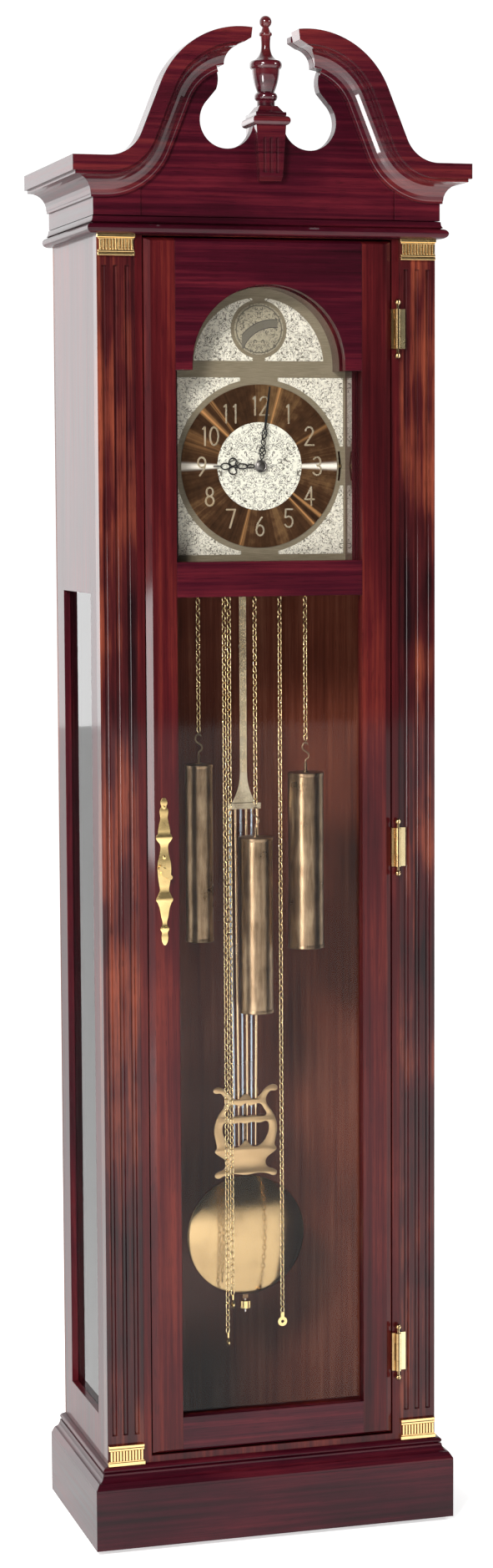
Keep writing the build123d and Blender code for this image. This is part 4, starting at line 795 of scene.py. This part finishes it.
# ---------------------------------------------------------------- chains
# Twisted-link brass chain, one loop over each sprocket: the working side hangs to the weight's
# hook and the slack side to its tag.  On the clock both sides lengthen and shorten as the weight travels;
# here each side is built once, at one length.
link_pitch, link_wire, link_half = 8.4 * mm, 0.72 * mm, 3.0 * mm
link_turns = math.radians(28), math.radians(118)
hook_lap, tag_lap, turn_links = 2 * mm, 1 * mm, 8
chain_brass = brass("chain_brass", (1.0, 0.80, 0.44, 1), (0.50, 0.32, 0.13, 1), rough=0.10)


def add_link(place, turn, lean=0.0):
    """One oval link standing upright, turned about its own length, then leaned in the XZ plane."""
    bpy.ops.mesh.primitive_torus_add(major_segments=12, minor_segments=5, major_radius=link_half,
                                     minor_radius=link_wire, location=(0, 0, 0), rotation=(math.pi / 2, 0, 0))
    link = bpy.context.object
    bpy.ops.object.transform_apply(location=False, rotation=True, scale=False)
    bpy.ops.object.mode_set(mode="EDIT")
    stretch = (link_pitch / 2 + 2 * link_wire) / (link_half + link_wire)
    bpy.ops.transform.resize(value=(1, 1, stretch), center_override=(0, 0, 0))
    bpy.ops.object.mode_set(mode="OBJECT")
    link.matrix_world = (Matrix.Translation(place) @ Matrix.Rotation(lean, 4, "Y")
                         @ Matrix.Rotation(turn, 4, "Z"))
    bpy.ops.object.transform_apply(location=True, rotation=True, scale=True)
    bpy.ops.object.shade_smooth()
    return link


def hanging_chain(name, x, y, top, bottom, end_body, *stands_for):
    """A straight strand of links from the sprocket down to the body that pulls its lower end; end_body is not
    used.
    """
    clear_selection()
    pairs = max(1, round((top - bottom) / link_pitch / 2))
    step = (top - bottom) / pairs
    first = add_link((x, y, bottom + step * 0.25), link_turns[0])
    clear_selection()
    second = add_link((x, y, bottom + step * 0.75), link_turns[1])
    strand = join_all([first, second])
    rows = strand.modifiers.new("links", "ARRAY")
    rows.use_relative_offset, rows.use_constant_offset = False, True
    rows.constant_offset_displace, rows.count = (0, 0, step), pairs
    bpy.ops.object.modifier_apply(modifier="links")
    finish_piece(strand, name, chain_brass, None, "polished_brass", *stands_for)
    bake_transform(strand)


for name, drive in drives.items():
    wheel_low, wheel_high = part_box("sprocket_" + name)
    tag_low, tag_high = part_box("chain_tag_" + name)
    wheel = (wheel_low + wheel_high) / 2
    slack_x = (tag_low.x + tag_high.x) / 2
    hanging_chain("chain_working_" + name, drive["x"], drive["y"], wheel.z, drive["hook_top"] - hook_lap,
                  "weight_" + name, "chain_" + name)
    hanging_chain("chain_slack_" + name, slack_x, drive["y"], wheel.z, tag_high.z - tag_lap,
                  "chain_tag_" + name)
    over = abs(slack_x - drive["x"]) / 2
    middle = (slack_x + drive["x"]) / 2
    arc = []
    for index in range(turn_links):
        bearing = math.pi * (index + 0.5) / turn_links
        spot = (middle + over * math.cos(bearing), drive["y"], wheel.z + over * math.sin(bearing))
        clear_selection()
        arc.append(add_link(spot, link_turns[index % 2], -bearing))
    finish_piece(join_all(arc), "chain_turn_" + name, chain_brass, "case", "polished_brass")

# ---------------------------------------------------------------- pendulum
# A ribbed brass stick flares to a yoke that carries six thin rods, brass and steel by turns;
# a pressed brass lyre covers their lower ends, above the spun bob and its rating nut.
bob_low, bob_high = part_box("pendulum_bob")
bob = (bob_low + bob_high) / 2
bob_reach = (bob_high.x - bob_low.x) / 2
bob_brass = brass("bob_brass", (0.50, 0.345, 0.17, 1), (0.27, 0.17, 0.08, 1), rough=0.09, tarnish=0.4)
rim, rim_width, pole, steps = 4.0 * mm, 3.0 * mm, 0.3 * mm, 16
face, rise = bob_reach - rim_width, bob_high.y - bob.y - rim
dome = [(max(pole, face * i / steps), rim + rise * (1 - (i / steps) ** 2)) for i in range(steps + 1)]
front = [(r, -h) for r, h in dome]
back = [(r, h) for r, h in reversed(dome)]
rim_profile = [(bob_reach - 0.8 * mm, -3.2 * mm), (bob_reach, -1.6 * mm), (bob_reach, 1.6 * mm),
               (bob_reach - 0.8 * mm, 3.2 * mm)]
disc = turned(front + rim_profile + back, sides=96, angle=28)
disc.rotation_euler = (-math.pi / 2, 0, 0)
disc.location = bob
finish_piece(disc, "spun_bob", bob_brass, "pendulum", "polished_brass", "pendulum_bob")

lyre_low, lyre_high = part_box("lyre_plate")
lyre_y = (lyre_low.y + lyre_high.y) / 2


def mirrored(points):
    """Right half of an outline, followed by its left half."""
    return points + [(-x, z) for x, z in reversed(points) if abs(x) > 1e-9]


def in_metres(points):
    """An outline given in millimetres."""
    return [(x * mm, z * mm) for x, z in points]


lyre_edge = [(0, 85), (18, 87), (32, 85), (40, 82), (44, 85.5), (40, 90), (32, 93), (28, 99), (29, 106),
             (34, 111), (40, 115), (43.5, 119), (41, 124), (42, 132), (44.5, 147), (42.5, 160),
             (37.5, 171), (31, 180), (28.5, 188), (31, 196), (37, 201), (42, 200.5), (45.5, 204),
             (42, 208), (35, 207.5), (28, 203), (22, 196), (16, 190.5), (9, 190), (5.5, 193.5), (0, 197)]
lyre_low_hole = [(0, 132), (5, 127), (12, 123), (22, 126), (31, 138), (34, 150), (31, 158.5), (20, 157),
                 (9, 158.5), (0, 157)]
lyre_high_hole = [(0, 166), (9, 167), (20, 165.5), (30, 167), (27, 176), (20, 184), (12, 183), (7, 181.5),
                  (0, 185)]
lyre_thick, soft_edge = 2.2 * mm, 0.0006
lyre_lines = [in_metres(mirrored(half)) for half in (lyre_edge, lyre_low_hole, lyre_high_hole)]
lyre = sawn_sheet(lyre_lines, lyre_thick, (bob.x, lyre_y, bob.z), soft_edge)
lyre_brass = brass("lyre_brass", (0.62, 0.42, 0.22, 1), (0.40, 0.25, 0.12, 1), rough=0.3, tarnish=0.4)
finish_piece(lyre, "pressed_lyre", lyre_brass, "pendulum", "polished_brass", "lyre_plate")

rods_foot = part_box("pendulum_rods")[0].z
rod_count, rod_gap, rod_spread, rod_radius, yoke_back = 6, 5.06 * mm, 0.00386, 1.1 * mm, 1.8 * mm
rod_metal = brass("rod_metals", (0.88, 0.64, 0.34, 1), (0.50, 0.32, 0.15, 1), tarnish=0.2)
x, y, z = rod_metal.axes(rod_metal.place(shift=(0, 0, -rods_foot)))
gap = rod_gap + z * rod_spread
steel_rod = ((x / gap) * math.pi).sine() < 0
two_metals = rod_metal.mix(steel_rod, (0.85, 0.60, 0.36, 1), (0.46, 0.52, 0.62, 1))
rod_metal.set(Base_Color=rod_metal.mix(y > bob.y + yoke_back, two_metals, (0.15, 0.085, 0.045, 1)))
dress(rod_metal, "pendulum_rods")
cross_piece_z, rod_foot_z = bob.z + 178 * mm, bob.z + 125 * mm
low_rods = []
for index in range(rod_count):
    place = index - (rod_count - 1) / 2
    head = place * (rod_gap + (cross_piece_z - rods_foot) * rod_spread)
    foot = place * (rod_gap + (rod_foot_z - rods_foot) * rod_spread)
    low_rods.append(bent_wire([([(head, cross_piece_z), (foot, rod_foot_z)], False)], rod_radius,
                              (0, bob.y, 0), smooth=False))
finish_piece(join_all(low_rods), "rod_feet", rod_metal, "pendulum", "polished_brass")

stick_brass = brass("stick_brass", (0.78, 0.66, 0.46, 1), (0.26, 0.19, 0.11, 1), rough=0.14, tarnish=0.6)
stick_low, stick_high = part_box("pendulum_leader")
dress(stick_brass, "pendulum_leader")
rib_x, rib_radius, rib_lift, rib_foot, rib_head = 4.0 * mm, 0.75 * mm, 3.2 * mm, 50 * mm, 22 * mm
rib_y = stick_low.y + rib_lift
ribs = []
for offset in (-rib_x, -rib_x / 3, rib_x / 3, rib_x):
    run = [(offset, stick_low.z + rib_foot), (offset, stick_high.z - rib_head)]
    ribs.append(bent_wire([(run, False)], rib_radius, (0, rib_y, 0), smooth=False))
finish_piece(join_all(ribs), "stick_ribs", stick_brass, "pendulum", "polished_brass")

# ---------------------------------------------------------------- key plate
# A long cast key plate with pointed wings, screwed to the door's left stile with three studs.
# The little turn whose cam holds the door shut keeps its shape from model.glb, dressed in polished brass
# above.
plate_low, plate_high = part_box("escutcheon")
plate_mid = (plate_low + plate_high) / 2
plate_thick, stud_heights = 1.5 * mm, (86 * mm, 20 * mm, -74 * mm)
plate_edge = [(0, 98), (2.6, 96.5), (4.2, 92), (3.0, 87), (5.2, 82), (4.4, 72), (6.0, 64), (7.4, 57),
              (8.0, 51), (10.6, 46), (9.0, 42.5), (5.2, 37), (5.0, 28), (8.4, 12), (8.6, 0), (7.0, -14),
              (5.8, -24), (8.4, -30), (11.0, -36.5), (9.2, -39.5), (6.4, -47), (4.4, -58), (2.6, -68),
              (5.5, -75), (3.6, -79), (4.0, -86), (2.6, -93), (0, -96)]
plate = sawn_sheet([in_metres(mirrored(plate_edge))], plate_thick,
                   (plate_mid.x, plate_mid.y, plate_mid.z), soft_edge)
studs = []
for height in stud_heights:
    stud = turned([(2.6 * mm, 0), (2.3 * mm, 0.7 * mm), (1.2 * mm, 1.2 * mm), (0.3 * mm, 1.3 * mm)],
                  sides=20)
    stud.rotation_euler = (math.pi / 2, 0, 0)
    stud.location = (plate_mid.x, plate_low.y, plate_mid.z + height)
    studs.append(stud)
finish_piece(join_all([plate] + studs), "key_plate", gold, "door", "polished_brass", "escutcheon")
